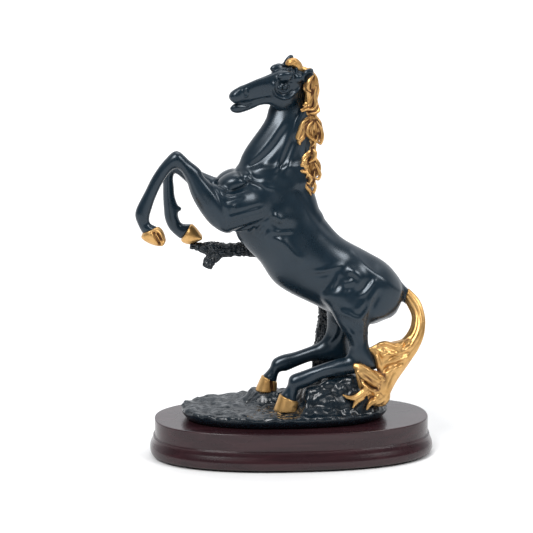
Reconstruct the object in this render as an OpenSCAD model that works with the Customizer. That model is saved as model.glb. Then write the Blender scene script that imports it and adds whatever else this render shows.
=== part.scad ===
// Rearing horse statuette on an oval wooden plinth.
// Frame: +Z up, origin at the centre of the underside, the horse faces -X and -Y is its near side.

/* [Plinth] */
// Length of the plinth's vertical band
plinth_l = 194; // [186:1:206]
// Width of the plinth's vertical band
plinth_w = 106; // [100:1:114]
// Thickness of the wooden plinth
plinth_t = 25; // [22:1:30]
// Thickness of the baize pad under the plinth
baize_t = 1.5; // [1:0.5:3]

/* [Fixings] */
// Diameter of the two fixing screws
screw_d = 4; // [3:0.5:5]
// Distance between the two fixing screws
screw_spacing = 80; // [60:1:90]
// Diameter of the dowel pins between the cast sections
pin_d = 3; // [2:0.5:3]

/* [Casting] */
// Thickness of the flat part of the ground casting
ground_t = 8.5; // [8:0.5:10]

/* [Hidden] */

black = "#1c252c";
gold = "#c99a4a";
mahogany = "#3a2327";
steel = "silver";
baize_green = "#1f2a24";

plinth_top = baize_t + plinth_t;
ground_top = plinth_top + ground_t;
oval_power = 2.36;      // exponent of the plinth's superellipse
ground_lift = ground_top - 35;  // the figure's stations are drawn for a ground at z = 35

// ---------- lofts ----------
// A station is [front x, front z, rear x, rear z, y, half width]: the two edges of an elliptical
// section as seen from the side, and how far it reaches to each side of y.

// Catmull-Rom value between b and c
function spline(a, b, c, d, t) =
    0.5 * (2 * b + (c - a) * t + (2 * a - 5 * b + 4 * c - d) * t * t + (3 * b - a - 3 * c + d) * t * t * t);

// Stations with `steps` rings for each stretch between two of them
function smooth(st, steps) = [
    for (i = [0 : len(st) - 2]) for (j = [0 : steps - 1])
        spline(st[max(i - 1, 0)], st[i], st[i + 1], st[min(i + 2, len(st) - 1)], j / steps),
    st[len(st) - 1]
];

function centre(s) = [(s[0] + s[2]) / 2, s[4], (s[1] + s[3]) / 2 + ground_lift];
function reach(s) = [(s[0] - s[2]) / 2, 0, (s[1] - s[3]) / 2];
function ring(s, sides) = [
    for (k = [0 : sides - 1]) let (a = 360 * k / sides)
        centre(s) + reach(s) * cos(a) + [0, s[5] * sin(a), 0]
];

// Closed skin over a list of rings that all have the same number of points
module skin(rings, turned = false) {
    n = len(rings[0]);
    last = len(rings) - 1;
    sides = [
        for (i = [0 : last - 1]) for (k = [0 : n - 1])
            let (a = i * n + k, b = i * n + (k + 1) % n, c = a + n, d = b + n)
            each turned ? [[a, c, b], [b, c, d]] : [[a, b, c], [b, d, c]]
    ];
    first_cap = [for (k = [0 : n - 1]) turned ? k : n - 1 - k];
    last_cap = [for (k = [0 : n - 1]) last * n + (turned ? n - 1 - k : k)];
    polyhedron(points = [for (r = rings) each r], faces = concat([first_cap], sides, [last_cap]));
}

// Skin over stations; which way it turns follows from the first two sections
module loft(st, sides = 16, steps = 2) {
    fine = smooth(st, steps);
    ahead = centre(fine[1]) - centre(fine[0]);
    skin([for (s = fine) ring(s, sides)], cross(reach(fine[0]), [0, 1, 0]) * ahead > 0);
}

function part_of(st, from, to) = [for (i = [from : to]) st[i]];

// ---------- stations of the horse ----------
// Barrel and neck in one run, from the buttocks to the poll: back edge first, then the belly edge
trunk_line = [
    [77, 119, 74, 104, 0, 9],
    [74, 128, 63, 93, 0, 17],
    [64, 138, 48, 93, 0, 20],
    [52, 144, 31, 99, 0, 21],
    [35, 154, 17, 105, 0, 21],
    [24, 166, -5, 117, 0, 21],
    [19, 175, -24, 140, 0, 20.5],
    [16, 185, -38, 163, 0, 19],
    [13, 196, -43, 184, 0, 17],
    [10, 206, -38, 203, 0, 15],
    [9, 217, -33, 216, 0, 13],
    [9, 237, -19, 235, 0, 10.5],
    [10, 255, -15, 247, 0, 9.5],
];
neck_from = 9;

near_thigh = [
    [42, 142, 74, 116, -8, 10],
    [28, 126, 66, 101, -13, 12],
    [23, 115, 54, 98, -16, 10.5],
    [28, 101, 52.5, 95, -17, 9.2],
    [33.5, 91, 52, 89.5, -17.5, 8.2],
];
near_hind = [
    [33.5, 91, 52, 89.5, -17.5, 8.2],
    [38.5, 82.5, 52.5, 80.5, -18, 7],
    [38, 76.5, 56, 74, -18.5, 6.6],
    [36, 72.5, 58.5, 64, -18.5, 6.4],
    [30, 71, 32.5, 59.5, -18.5, 5.6],
    [16, 66.5, 20, 57, -18.5, 5.2],
    [6.5, 63, 10, 52, -18.5, 5.4],
    [-2.5, 59.5, 3.5, 49.5, -18.5, 5.6],
    [-4.5, 53, 2.5, 47, -18.5, 5],
    [-7, 49, 1.5, 43.5, -18.5, 4.8],
    [-9.5, 46.5, 2.5, 40.5, -18.5, 5.8],
];
far_thigh = [
    [42, 142, 74, 116, 8, 10],
    [30, 124, 66, 99, 12, 12],
    [26, 108, 52, 92, 14, 10.5],
    [26.5, 96, 46, 86, 14.5, 9],
];
far_hind = [
    [26.5, 96, 46, 86, 14.5, 9],
    [26.5, 86, 43, 76, 14.5, 7.4],
    [24, 79, 43.5, 64, 14.5, 6.6],
    [20, 75, 29, 61.5, 14.5, 6],
    [16.5, 73.5, 17.5, 62.5, 14.5, 5.5],
    [3.5, 69, 7.5, 59.5, 14.5, 5.2],
    [-5.5, 67, -2, 55.5, 14.5, 5.4],
    [-12, 63.5, -6.5, 55, 14.5, 5.4],
    [-14.5, 57.5, -8.5, 52.5, 14.5, 5],
    [-19.5, 52, -9.5, 47.5, 14.5, 5.8],
];
near_fore = [
    [-30, 193, -22, 168, -14, 9],
    [-44, 190, -45, 166, -17, 10.5],
    [-50, 193, -62.5, 173.5, -18, 10],
    [-55.5, 196, -69, 183.5, -18, 9],
    [-64, 203.5, -73.5, 195, -18, 7],
    [-71, 210, -77.5, 203.5, -18, 6],
    [-80.5, 219, -80.5, 206, -18, 6],
    [-89, 212, -84, 205, -18, 5],
    [-96.5, 202, -89.5, 198, -18, 4.5],
    [-102.5, 190.5, -95, 187, -18, 4.5],
    [-108, 180, -98.5, 177, -18, 4.8],
    [-109.5, 174, -99.5, 173, -18, 5],
    [-107.5, 168, -99, 168.5, -18, 4.6],
    [-104.5, 162, -94, 166, -18, 5.4],
];
far_fore = [
    [-30, 193, -22, 168, 11, 9],
    [-46, 193, -44, 166, 14, 9.5],
    [-54, 196, -60, 176, 15, 9],
    [-63.5, 200, -69, 188, 15, 8],
    [-74.5, 205, -77, 196, 15, 6.4],
    [-84, 207, -81, 198.5, 15, 5.8],
    [-89.5, 201, -82, 194.5, 15, 5],
    [-89, 190, -82, 189.5, 15, 4.5],
    [-89, 181.5, -81.5, 182, 15, 4.5],
    [-88.8, 174, -79, 175, 15, 4.8],
    [-88, 166, -79, 169, 15, 5],
    [-84.5, 158.5, -76, 163.5, 15, 4.6],
    [-77.5, 152, -69.5, 162.5, 15, 5.6],
];

// Shoulder muscle of one side, from the withers down to the point of the shoulder
function shoulder(side) = [
    [-8, 202, 8, 186, 7 * side, 8],
    [-24, 194, 0, 171, 10 * side, 10],
    [-38, 190, -18, 162, 12 * side, 9.5],
];

// Hooves: the coronet and the sole
near_fore_hoof_line = [[-104.5, 162, -94, 166, -18, 5.8], [-105, 158, -89.5, 153.5, -18, 7.6]];
far_fore_hoof_line = [[-77.5, 152, -69.5, 162.5, 15, 5.8], [-74.5, 149, -62, 153, 15, 7.4]];
near_hind_hoof_line = [[-9.5, 46.5, 2.5, 40.5, -18.5, 6.2], [-14, 35, 3.5, 35, -18.5, 8]];
far_hind_hoof_line = [[-19.5, 52, -9.5, 47.5, 14.5, 6.2], [-24.5, 41.5, -8.5, 41.5, 14.5, 8]];

dock_line = [
    [75, 124, 75, 108, 0, 6],
    [80, 119, 78.5, 107.5, 0, 5],
    [85, 114, 81.5, 105, 0, 4.6],
];
tail_line = [
    [85, 114, 81.5, 105, 0, 4.6],
    [90.5, 108.5, 84, 101, 0, 4.8],
    [95, 99, 86, 94.5, -1, 5.2],
    [96, 90, 85, 87, -2, 6],
    [93.5, 79.5, 76, 82, -4, 8],
    [88.5, 69, 64, 82, -6, 10],
    [82, 60, 57, 73, -9, 12],
    [75, 51.5, 54, 62, -11, 13],
    [69.5, 43, 52, 50, -13, 13],
    [66, 35.5, 50, 40, -14, 12],
];
// Two locks thrown forward past the near hock
hock_lock_line = [
    [66, 62, 60, 50, -19, 7],
    [57, 66.5, 54, 49, -25, 5],
    [48, 71, 45.5, 56, -28.5, 3.6],
    [40.5, 70, 39, 63, -29.5, 2.6],
];
ground_lock_line = [
    [62, 50, 60, 38, -21, 7],
    [51, 48, 50, 37.5, -28, 5],
    [41.5, 48.5, 41, 40.5, -33, 3.6],
    [34, 50, 34.5, 46.5, -34, 2.4],
];
mane_line = [
    [6, 277, 0, 270, -1, 5],
    [13, 266, 4, 260, -2, 7],
    [17.5, 257, 5, 252, -3, 9],
    [18, 245, 4, 243, -4, 10],
    [20, 233, 1, 231, -5, 11],
    [21.5, 223, 2, 221, -5, 11],
    [18, 213, 3, 211, -4, 10.5],
    [20.5, 202, 1, 203, -4, 11],
    [18, 193, 6, 194, -3, 8],
    [15.5, 184, 12, 187, -2, 4],
];
tree_trunk_line = [
    [12, 33, 52, 33, 25, 11],
    [16.5, 50, 46, 48.5, 26, 10.5],
    [17.5, 67.5, 42, 67, 27, 10],
    [21, 85, 39.5, 83.5, 28.5, 9],
    [22, 99, 37.5, 101, 30, 8.4],
    [14.5, 115, 28.5, 121.5, 31, 7.6],
    [3, 127.5, 13, 138, 31, 7],
];
tree_branch_line = [
    [3, 127.5, 13, 138, 31, 7],
    [-8, 134, -4, 145.5, 28, 6],
    [-21, 136.5, -19, 147, 23, 5.4],
    [-34, 138.5, -34, 148.5, 18, 5],
    [-46, 138.5, -45, 148.5, 15, 5],
    [-56, 139, -54, 150, 14, 5],
    [-66, 144, -62.5, 149, 14, 4],
    [-71, 145, -70.5, 149.5, 13, 3],
];
tree_fork_line = [
    [-56, 146, -46, 139, 14, 4.5],
    [-61, 138, -52.5, 134.5, 13, 4],
    [-62, 133, -56, 130.5, 12, 3.6],
];

// ---------- plinth ----------
module oval(l, w, points = 72) polygon([
    for (k = [0 : points - 1]) let (a = 360 * k / points)
        [l / 2 * sign(cos(a)) * pow(abs(cos(a)), 2 / oval_power),
         w / 2 * sign(sin(a)) * pow(abs(sin(a)), 2 / oval_power)]
]);

// One level of an oval stack: [outset from the band, z]
function oval_ring(l, w, level, middle = [0, 0], points = 72) = [
    for (k = [0 : points - 1]) let (a = 360 * k / points)
        [middle[0] + (l / 2 + level[0]) * sign(cos(a)) * pow(abs(cos(a)), 2 / oval_power),
         middle[1] + (w / 2 + level[0]) * sign(sin(a)) * pow(abs(sin(a)), 2 / oval_power),
         level[1]]
];

screw_places = [[-4 - screw_spacing / 2, -3], [-4 + screw_spacing / 2, -3]];
head_room = 6;          // depth of the counterbore under the plinth
washer_t = 1;

module plinth() color(mahogany) difference() {
    skin([for (level = [
        [2, baize_t], [3, baize_t + 2], [3.4, baize_t + 5.4], [2.6, baize_t + 8.2], [1.5, baize_t + 10],
        [1.2, baize_t + 11.8], [0.5, baize_t + 13.4], [0, baize_t + 13.6], [0, plinth_top - 0.5],
        [-0.5, plinth_top]
    ]) oval_ring(plinth_l, plinth_w, level)]);
    for (p = screw_places) translate([p[0], p[1], 0]) {
        cylinder(d = screw_d + 1, h = plinth_top + 1, $fn = 40);
        cylinder(d = 3 * screw_d, h = baize_t + head_room, $fn = 48);
    }
}

module baize_pad() color(baize_green) linear_extrude(baize_t) oval(plinth_l - 4, plinth_w - 4);

module fixing_screws() color(steel) for (p = screw_places) translate([p[0], p[1], baize_t + head_room]) {
    translate([0, 0, -washer_t - screw_d * 0.7]) cylinder(d = 2 * screw_d, h = screw_d * 0.7, $fn = 40);
    translate([0, 0, -washer_t - 0.01])
        cylinder(d = screw_d, h = plinth_t - head_room + washer_t + 6, $fn = 40);
}

module screw_washers() color(steel) for (p = screw_places)
    translate([p[0], p[1], baize_t + head_room - washer_t]) difference() {
        cylinder(d = 2.6 * screw_d, h = washer_t, $fn = 40);
        translate([0, 0, -1]) cylinder(d = screw_d + 0.3, h = washer_t + 2, $fn = 40);
    }

// ---------- ground and tree ----------
ground_middle = [-5, -1];
ground_l = 146;
ground_w = 82;

function step(t) = let (u = min(max(t, 0), 1)) u * u * (3 - 2 * u);

// Height of the ground over its flat part: a mound under the hocks and a ledge for the far hind hoof
function relief(x, y) = max(
    (16 * step((x - 1) / 9) + 8 * step((x - 5) / 33)) * step((76 - x) / 26)
        * step((y + 35) / 13) * step((42 - y) / 10),
    6.5 * step((20 - norm([x + 15, y - 16])) / 9)
);
function relief_ring(share, points = 48) = [
    for (p = oval_ring(ground_l * share, ground_w * share, [0, ground_top], ground_middle, points))
        [p[0], p[1], p[2] + relief(p[0], p[1])]
];

module ground_body() skin(concat(
    [for (level = [[-5, plinth_top], [-2, plinth_top + 2.5], [0, plinth_top + 6], [-0.3, ground_top - 0.8]])
        oval_ring(ground_l, ground_w, level, ground_middle, 48)],
    [for (share = [0.97, 0.9, 0.82, 0.74, 0.65, 0.55, 0.44, 0.33, 0.22]) relief_ring(share)],
    [[for (p = relief_ring(0.1)) [p[0], p[1], ground_top + 0.6]]]
));

module ground() color(black) difference() {
    ground_body();
    loft(tree_trunk_line, 14, 2);
    tail_locks();
    for (p = screw_places) translate([p[0], p[1], plinth_top - 1])
        cylinder(d = screw_d + 0.1, h = 7.2, $fn = 40);
}

module tree_trunk() color(black) loft(tree_trunk_line, 14, 2);
module tree_branch() color(black) union() {
    loft(tree_branch_line, 12, 2);
    loft(tree_fork_line, 10, 2);
}

// ---------- pins ----------
// Section planes that carry a dowel at right angles to them, then the places with a direction of
// their own: [centre, angle from +Z towards +X]
pinned_sections = [trunk_line[neck_from], near_hind[0], far_hind[0]];
pin_places = concat(
    [for (s = pinned_sections) [centre(s), atan2(reach(s)[2], -reach(s)[0])]],
    [[[80.5, 0, 112.5 + ground_lift], 125], [[-34, -14.5, 179 + ground_lift], 90],
     [[-34, 12.5, 179 + ground_lift], 90]]
);
pin_l = 14;

module pins(d, l) for (p = pin_places) translate(p[0]) rotate([0, p[1], 0])
    cylinder(d = d, h = l, center = true, $fn = 32);
module pin_sockets() pins(pin_d + 0.1, pin_l + 0.4);
module joint_pins() color(steel) pins(pin_d, pin_l);

// ---------- horse ----------
module barrel() loft(part_of(trunk_line, 0, neck_from), 24, 2);
module torso() color(black) difference() {
    union() {
        barrel();
        loft(near_thigh, 16, 2);
        loft(far_thigh, 16, 2);
        loft(shoulder(-1), 16, 2);
        loft(shoulder(1), 16, 2);
    }
    loft(tree_trunk_line, 14, 2);
    pin_sockets();
}
module neck() color(black) difference() {
    loft(part_of(trunk_line, neck_from, len(trunk_line) - 1), 24, 2);
    pin_sockets();
}

module ball(x, y, z, r) translate([x, y, z + ground_lift]) sphere(r = r, $fn = 16);

module head() color(black) difference() {
    union() {
        hull() { ball(1, 0.5, 263, 8.5); ball(-8, -3, 264, 9.3); }              // skull
        hull() { ball(-8, -3, 264, 9.3); ball(-24, -8.5, 259.5, 6.4); }         // bridge of the nose
        hull() { ball(-24, -8.5, 259.5, 6.4); ball(-36, -12, 255, 4.8); }       // muzzle
        hull() { ball(-36, -12, 255, 4.8); ball(-40.5, -13.5, 252.8, 3.6); }    // upper lip
        hull() { ball(-2, -2, 256, 9); ball(-11, -5, 254.5, 8.6); }             // cheeks
        hull() { ball(-11, -5, 254.5, 8.6); ball(-24, -9.5, 253, 5.4); }        // lower jaw
        hull() { ball(-24, -9.5, 253, 5.4); ball(-37.5, -12.5, 247, 3); }       // lower lip
        hull() { ball(8, -5.5, 268, 3.4); ball(11, -7.5, 270, 2.2); ball(5, -4, 264, 3); }      // near ear
        hull() { ball(-0.5, 5, 275, 2.6); ball(-1.2, 6, 278.4, 1.6); ball(0.5, 3.5, 270, 3.2); } // far ear
    }
    loft(part_of(trunk_line, neck_from, len(trunk_line) - 1), 24, 2);
}

module near_foreleg() color(black) difference() {
    loft(near_fore);
    barrel();
    loft(shoulder(-1), 16, 2);
    pin_sockets();
}
module far_foreleg() color(black) difference() {
    loft(far_fore);
    barrel();
    loft(shoulder(1), 16, 2);
    pin_sockets();
}
module near_hind_leg() color(black) difference() {
    loft(near_hind);
    pin_sockets();
}
module far_hind_leg() color(black) difference() {
    loft(far_hind);
    loft(tree_trunk_line, 14, 2);
    pin_sockets();
}

module near_fore_hoof() color(gold) loft(near_fore_hoof_line, 16, 3);
module far_fore_hoof() color(gold) loft(far_fore_hoof_line, 16, 3);
module near_hind_hoof() color(gold) loft(near_hind_hoof_line, 16, 3);
module far_hind_hoof() color(gold) loft(far_hind_hoof_line, 16, 3);

module tail_dock() color(black) difference() {
    loft(dock_line, 14, 2);
    barrel();
    pin_sockets();
}
module tail_locks() {
    loft(tail_line, 16, 2);
    loft(hock_lock_line, 12, 2);
    loft(ground_lock_line, 12, 2);
}
module tail() color(gold) difference() {
    tail_locks();
    loft(near_hind);
    pin_sockets();
}
module mane() color(gold) difference() {
    loft(mane_line, 18, 2);
    loft(part_of(trunk_line, neck_from - 2, len(trunk_line) - 1), 24, 2);
}
module forelock() color(gold) hull() {
    ball(-2, -1, 274.6, 2.6);
    ball(3, -1, 274, 3);
    ball(-6, -3, 273.6, 1.6);
}

baize_pad();
plinth();
fixing_screws();
screw_washers();
ground();
tree_trunk();
tree_branch();
torso();
neck();
head();
near_foreleg();
far_foreleg();
near_hind_leg();
far_hind_leg();
near_fore_hoof();
far_fore_hoof();
near_hind_hoof();
far_hind_hoof();
tail_dock();
tail();
mane();
forelock();
joint_pins();
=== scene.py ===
import math

import bpy
import numpy as np
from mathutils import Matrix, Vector


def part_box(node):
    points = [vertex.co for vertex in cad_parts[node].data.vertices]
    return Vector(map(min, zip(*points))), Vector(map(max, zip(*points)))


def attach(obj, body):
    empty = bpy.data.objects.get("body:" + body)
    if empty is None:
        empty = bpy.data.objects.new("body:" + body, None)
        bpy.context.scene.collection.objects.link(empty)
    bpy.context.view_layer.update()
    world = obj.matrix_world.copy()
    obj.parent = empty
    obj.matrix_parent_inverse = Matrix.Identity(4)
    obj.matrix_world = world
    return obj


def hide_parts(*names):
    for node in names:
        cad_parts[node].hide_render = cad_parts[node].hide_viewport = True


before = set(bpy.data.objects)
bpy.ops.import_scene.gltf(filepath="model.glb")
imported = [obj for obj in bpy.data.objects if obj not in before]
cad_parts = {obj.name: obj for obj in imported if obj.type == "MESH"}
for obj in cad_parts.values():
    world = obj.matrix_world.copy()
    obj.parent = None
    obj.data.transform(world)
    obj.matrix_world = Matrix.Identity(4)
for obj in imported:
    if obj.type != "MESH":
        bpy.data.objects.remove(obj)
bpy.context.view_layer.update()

# ---------------------------------------------------------------- camera
# A long lens a little above the plinth and a few degrees towards the horse's chest.
eye = bpy.data.objects.new("camera", bpy.data.cameras.new("camera"))
bpy.context.collection.objects.link(eye)
eye.data.lens = 132.6
eye.data.sensor_width = 36
eye.data.clip_end = 60
eye.location = (-0.1238, -1.347, 0.3845)
look_at = Vector((-0.0158, 0.0253, 0.1294))
eye.rotation_euler = (look_at - eye.location).to_track_quat("-Z", "Y").to_euler()
bpy.context.scene.camera = eye
bpy.context.scene.view_settings.view_transform = "Standard"

# ---------------------------------------------------------------- floor and light
# A flat white floor of paper under three large soft lamps and a white room.


def put(name, points, faces, material, normals=None, marks=None):
    """Mesh of points in mm and of faces (rows of 3 or 4 corner numbers), set down in metres."""
    mesh = bpy.data.meshes.new(name)
    faces = np.asarray(faces, np.int32)
    sides = faces.shape[1]
    mesh.vertices.add(len(points))
    mesh.vertices.foreach_set("co", (np.asarray(points) * 0.001).astype(np.float32).ravel())
    mesh.loops.add(faces.size)
    mesh.loops.foreach_set("vertex_index", faces.ravel())
    mesh.polygons.add(len(faces))
    mesh.polygons.foreach_set("loop_start", np.arange(0, faces.size, sides, dtype=np.int32))
    mesh.polygons.foreach_set("loop_total", np.full(len(faces), sides, np.int32))
    mesh.polygons.foreach_set("use_smooth", np.ones(len(faces), bool))
    for mark, values in (marks or {}).items():
        mesh.attributes.new(mark, "FLOAT", "POINT").data.foreach_set("value", values.astype(np.float32))
    mesh.update(calc_edges=True)
    mesh.validate()
    if normals is not None:
        mesh.normals_split_custom_set(normals.reshape(-1, 3))
    mesh.materials.append(material)
    piece = bpy.data.objects.new(name, mesh)
    bpy.context.collection.objects.link(piece)
    return piece


class Tone:
    """One value on its way through a material: arithmetic on it adds the Math nodes."""

    def __init__(self, tree, socket):
        self.tree, self.socket = tree, socket

    def node(self, kind, settings=None, inputs=None, out=0):
        """A node of this kind, its settings made first, then its sockets given values or links."""
        n = self.tree.nodes.new(kind)
        for key, value in (settings or {}).items():
            if key == "stops":
                while len(n.color_ramp.elements) < len(value):
                    n.color_ramp.elements.new(0.5)
                for element, (place, colour) in zip(n.color_ramp.elements, value):
                    element.position, element.color = place, colour
            else:
                setattr(n, key, value)
        for key, value in (inputs or {}).items():
            if isinstance(value, Tone):
                self.tree.links.new(value.socket, n.inputs[key])
            else:
                n.inputs[key].default_value = value
        return Tone(self.tree, n.outputs[out])

    def maths(self, operation, a, b=0.0):
        return self.node("ShaderNodeMath", {"operation": operation}, {0: a, 1: b})

    def __add__(self, other):
        return self.maths("ADD", self, other)

    __radd__ = __add__

    def __mul__(self, other):
        return self.maths("MULTIPLY", self, other)

    __rmul__ = __mul__

    def __sub__(self, other):
        return self.maths("SUBTRACT", self, other)

    def __rsub__(self, other):
        return self.maths("SUBTRACT", other, self)

    def mix(self, low, high):
        """The colour low where this is 0 and high where it is 1."""
        return self.node("ShaderNodeMix", {"data_type": "RGBA"}, {0: self, 6: low, 7: high}, out=2)

    def between(self, low, high):
        """0 up to low and 1 from high, with a smooth way between."""
        return self.node("ShaderNodeMapRange", {"interpolation_type": "SMOOTHSTEP"},
                         {0: self, 1: low, 2: high})


def finish(name, colour, roughness, metallic=0.0, normal=None, coat=0.0, coat_roughness=0.1, specular=0.5):
    """Principled material; colour, roughness, metallic and normal may be values or Tones."""
    material = bpy.data.materials[name]
    shader = material.node_tree.nodes["Principled BSDF"]
    shader.inputs["Coat Weight"].default_value = coat
    shader.inputs["Coat Roughness"].default_value = coat_roughness
    shader.inputs["Specular IOR Level"].default_value = specular
    values = {"Base Color": colour, "Roughness": roughness, "Metallic": metallic, "Normal": normal}
    for key, value in values.items():
        if isinstance(value, Tone):
            material.node_tree.links.new(value.socket, shader.inputs[key])
        elif value is not None:
            shader.inputs[key].default_value = value
    return material


def start(name):
    """A new material and the place of each spot on it, in mm."""
    material = bpy.data.materials.new(name)
    material.use_nodes = True
    tree = material.node_tree
    first = Tone(tree, None)
    place = first.node("ShaderNodeTexCoord", out=3)
    return first.node("ShaderNodeVectorMath", {"operation": "SCALE"}, {0: place, 3: 1000.0})


paper = start("paper")
cloud = paper.node("ShaderNodeTexNoise", None, {0: paper, "Scale": 0.02, "Detail": 2.0})
finish("paper", cloud.mix((0.86, 0.86, 0.86, 1), (0.9, 0.9, 0.9, 1)), 0.7)
TILES = 24
across = np.linspace(-9000, 9000, TILES + 1)
floor_x, floor_y = np.meshgrid(across, across, indexing="ij")
floor_points = np.stack([floor_x, floor_y, np.zeros_like(floor_x)], -1).reshape(-1, 3)
corner = (np.arange(TILES)[:, None] * (TILES + 1) + np.arange(TILES)).ravel()
tiles = np.stack([corner, corner + TILES + 1, corner + TILES + 2, corner + 1], 1)
put("floor", floor_points, tiles, bpy.data.materials["paper"])

world = bpy.data.worlds.new("room")
bpy.context.scene.world = world
world.use_nodes = True
# the room is bright behind the object and dim behind the camera
sky = Tone(world.node_tree, None)
outlook = sky.node("ShaderNodeSeparateXYZ", None, {0: sky.node("ShaderNodeTexCoord")}, out=1)
glow = outlook.between(-0.35, 0.75) * 0.95 + 0.1
paint = world.node_tree.nodes["Background"]
paint.inputs[0].default_value = (0.95, 0.97, 1.0, 1)
world.node_tree.links.new(glow.socket, paint.inputs[1])


def lamp(name, strength, spread, turn, height):
    """A sun as wide as a soft box: it shines from this turn about the plinth, this high, in degrees."""
    light = bpy.data.lights.new(name, "SUN")
    light.energy, light.angle = strength, math.radians(spread)
    obj = bpy.data.objects.new(name, light)
    bpy.context.collection.objects.link(obj)
    a, h = math.radians(turn), math.radians(height)
    obj.rotation_euler = Vector((math.cos(a) * math.cos(h), math.sin(a) * math.cos(h), math.sin(h))) \
        .to_track_quat("Z", "Y").to_euler()


lamp("left_lamp", 2.3, 24, -128, 48)
lamp("right_lamp", 1.3, 22, -38, 42)
lamp("top_lamp", 0.9, 40, 60, 70)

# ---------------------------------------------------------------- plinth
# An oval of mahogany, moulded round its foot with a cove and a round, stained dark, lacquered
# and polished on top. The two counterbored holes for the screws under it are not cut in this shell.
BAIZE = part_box("baize_pad")[1][2] * 1000
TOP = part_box("plinth")[1][2] * 1000
BAND = (97.0, 53.0)         # half lengths of the straight band above the moulding
OVAL = 2.36                 # exponent of its superellipse
PLINTH_COLUMNS = 384
ARRIS = 0.6                 # radius of the top edge


def spline(table, steps):
    """Catmull-Rom rows: each stretch of the table in `steps` steps, through every row."""
    t = np.asarray(table, float)
    before, after = t[[0] + list(range(len(t) - 1))], t[list(range(1, len(t))) + [-1]]
    a, b, c, d = before[:-1], t[:-1], t[1:], after[1:]
    s = (np.arange(steps) / steps)[None, :, None]
    a, b, c, d = a[:, None], b[:, None], c[:, None], d[:, None]
    rows = 0.5 * (2 * b + (c - a) * s + (2 * a - 5 * b + 4 * c - d) * s**2 + (3 * b - a - 3 * c + d) * s**3)
    return np.concatenate([rows.reshape(-1, t.shape[1]), t[-1:]])


def oval(half, outset, angles, power=OVAL):
    """Superellipse |x/a|^n + |y/b|^n = 1, its half lengths a and b both grown by outset."""
    c, s = np.cos(angles), np.sin(angles)
    x = (half[0] + outset) * np.sign(c) * np.abs(c) ** (2 / power)
    y = (half[1] + outset) * np.sign(s) * np.abs(s) ** (2 / power)
    return x, y


def tube(rings):
    """Quads between rows of points; row r, column c at r * columns + c, columns closed round."""
    r, c = rings.shape[:2]
    i, j = np.meshgrid(np.arange(r - 1), np.arange(c), indexing="ij")
    i, j = i.ravel(), j.ravel()
    k = (j + 1) % c
    return np.stack([i * c + j, i * c + k, (i + 1) * c + k, (i + 1) * c + j], 1)


def shell(name, rings, material, **more):
    """Closed tube: the first and last rows each shrink to a point in their middle, in two small rows."""
    first, last = rings[0], rings[-1]
    ends = [first.mean(0) + (first - first.mean(0)) * s for s in (1e-3, 0.5)]
    tails = [last.mean(0) + (last - last.mean(0)) * s for s in (0.5, 1e-3)]
    rows = np.concatenate([np.stack(ends), rings, np.stack(tails)])
    return put(name, rows.reshape(-1, 3), tube(rows), material, **more)


# outset from the band and height, from the foot's underside to the rim of the top
moulding = np.concatenate([
    spline([(1.6, 0.0), (2.6, 0.5), (3.3, 2.2), (3.5, 4.4), (3.2, 6.4), (2.4, 8.4), (1.7, 10.0),
            (1.25, 11.8)], 5),
    [(1.2, 12.3), (1.15, 12.6), (0.35, 12.75), (0.05, 12.95), (0.0, 13.3), (0.0, 13.6)],
    [(0.0, z) for z in np.linspace(14.5, TOP - BAIZE - 0.9, 8)],
    [(ARRIS * (math.cos(a) - 1), TOP - BAIZE + ARRIS * (math.sin(a) - 1))
     for a in np.linspace(0, math.pi / 2, 6)],
])
angles = np.linspace(0, 2 * math.pi, PLINTH_COLUMNS, endpoint=False)
rings = []
for outset, height in moulding:
    x, y = oval(BAND, outset, angles)
    rings.append(np.stack([x, y, np.full_like(x, BAIZE + height)], -1))
for share in (0.985, 0.9, 0.75, 0.55, 0.3, 0.1):
    x, y = oval(BAND, -ARRIS, angles)
    rings.append(np.stack([x * share, y * share, np.full_like(x, TOP)], -1))

wood = start("mahogany_lacquer")
bands = wood.node("ShaderNodeMapping", None, {0: wood, 3: (0.012, 0.12, 0.22)})
drift = wood.node("ShaderNodeTexNoise", None, {0: bands, "Scale": 1.0, "Detail": 3.0, "Distortion": 0.6})
fine = wood.node("ShaderNodeMapping", None, {0: wood, 3: (0.05, 1.6, 1.6)})
pores = wood.node("ShaderNodeTexNoise", None, {0: fine, "Scale": 1.0, "Detail": 4.0, "Roughness": 0.7})
grain = drift.between(0.35, 0.7) * 0.7 + pores.between(0.45, 0.7) * 0.3
stain = grain.mix((0.019, 0.0065, 0.009, 1), (0.038, 0.0135, 0.017, 1))
ripple = pores.node("ShaderNodeBump", None, {"Strength": 0.12, "Distance": 0.0002, "Height": pores})
smears = wood.node("ShaderNodeTexNoise", None, {0: wood, "Scale": 0.03, "Detail": 3.0})
mahogany = finish("mahogany_lacquer", stain, smears * 0.12 + 0.2, normal=ripple, coat=0.22,
                  coat_roughness=0.09,
                  specular=0.32)
plinth = shell("plinth_body", np.stack(rings), mahogany)
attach(plinth, "root")
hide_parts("plinth")

# ---------------------------------------------------------------- baize and screws
# Green baize glued under the plinth; two steel screws with washers hold the ground casting down
# from below, and six steel dowels sit unseen in the joints between the castings.
felt = start("baize_cloth")
fluff = felt.node("ShaderNodeTexNoise", None, {0: felt, "Scale": 1.8, "Detail": 4.0})
patch = felt.node("ShaderNodeTexNoise", None, {0: felt, "Scale": 0.06, "Detail": 2.0})
nap = fluff.node("ShaderNodeBump", None, {"Strength": 0.6, "Distance": 0.0004, "Height": fluff})
finish("baize_cloth", (fluff * 0.6 + patch * 0.4).mix((0.008, 0.022, 0.014, 1), (0.025, 0.06, 0.038, 1)),
       0.95, normal=nap, specular=0.1)

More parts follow.
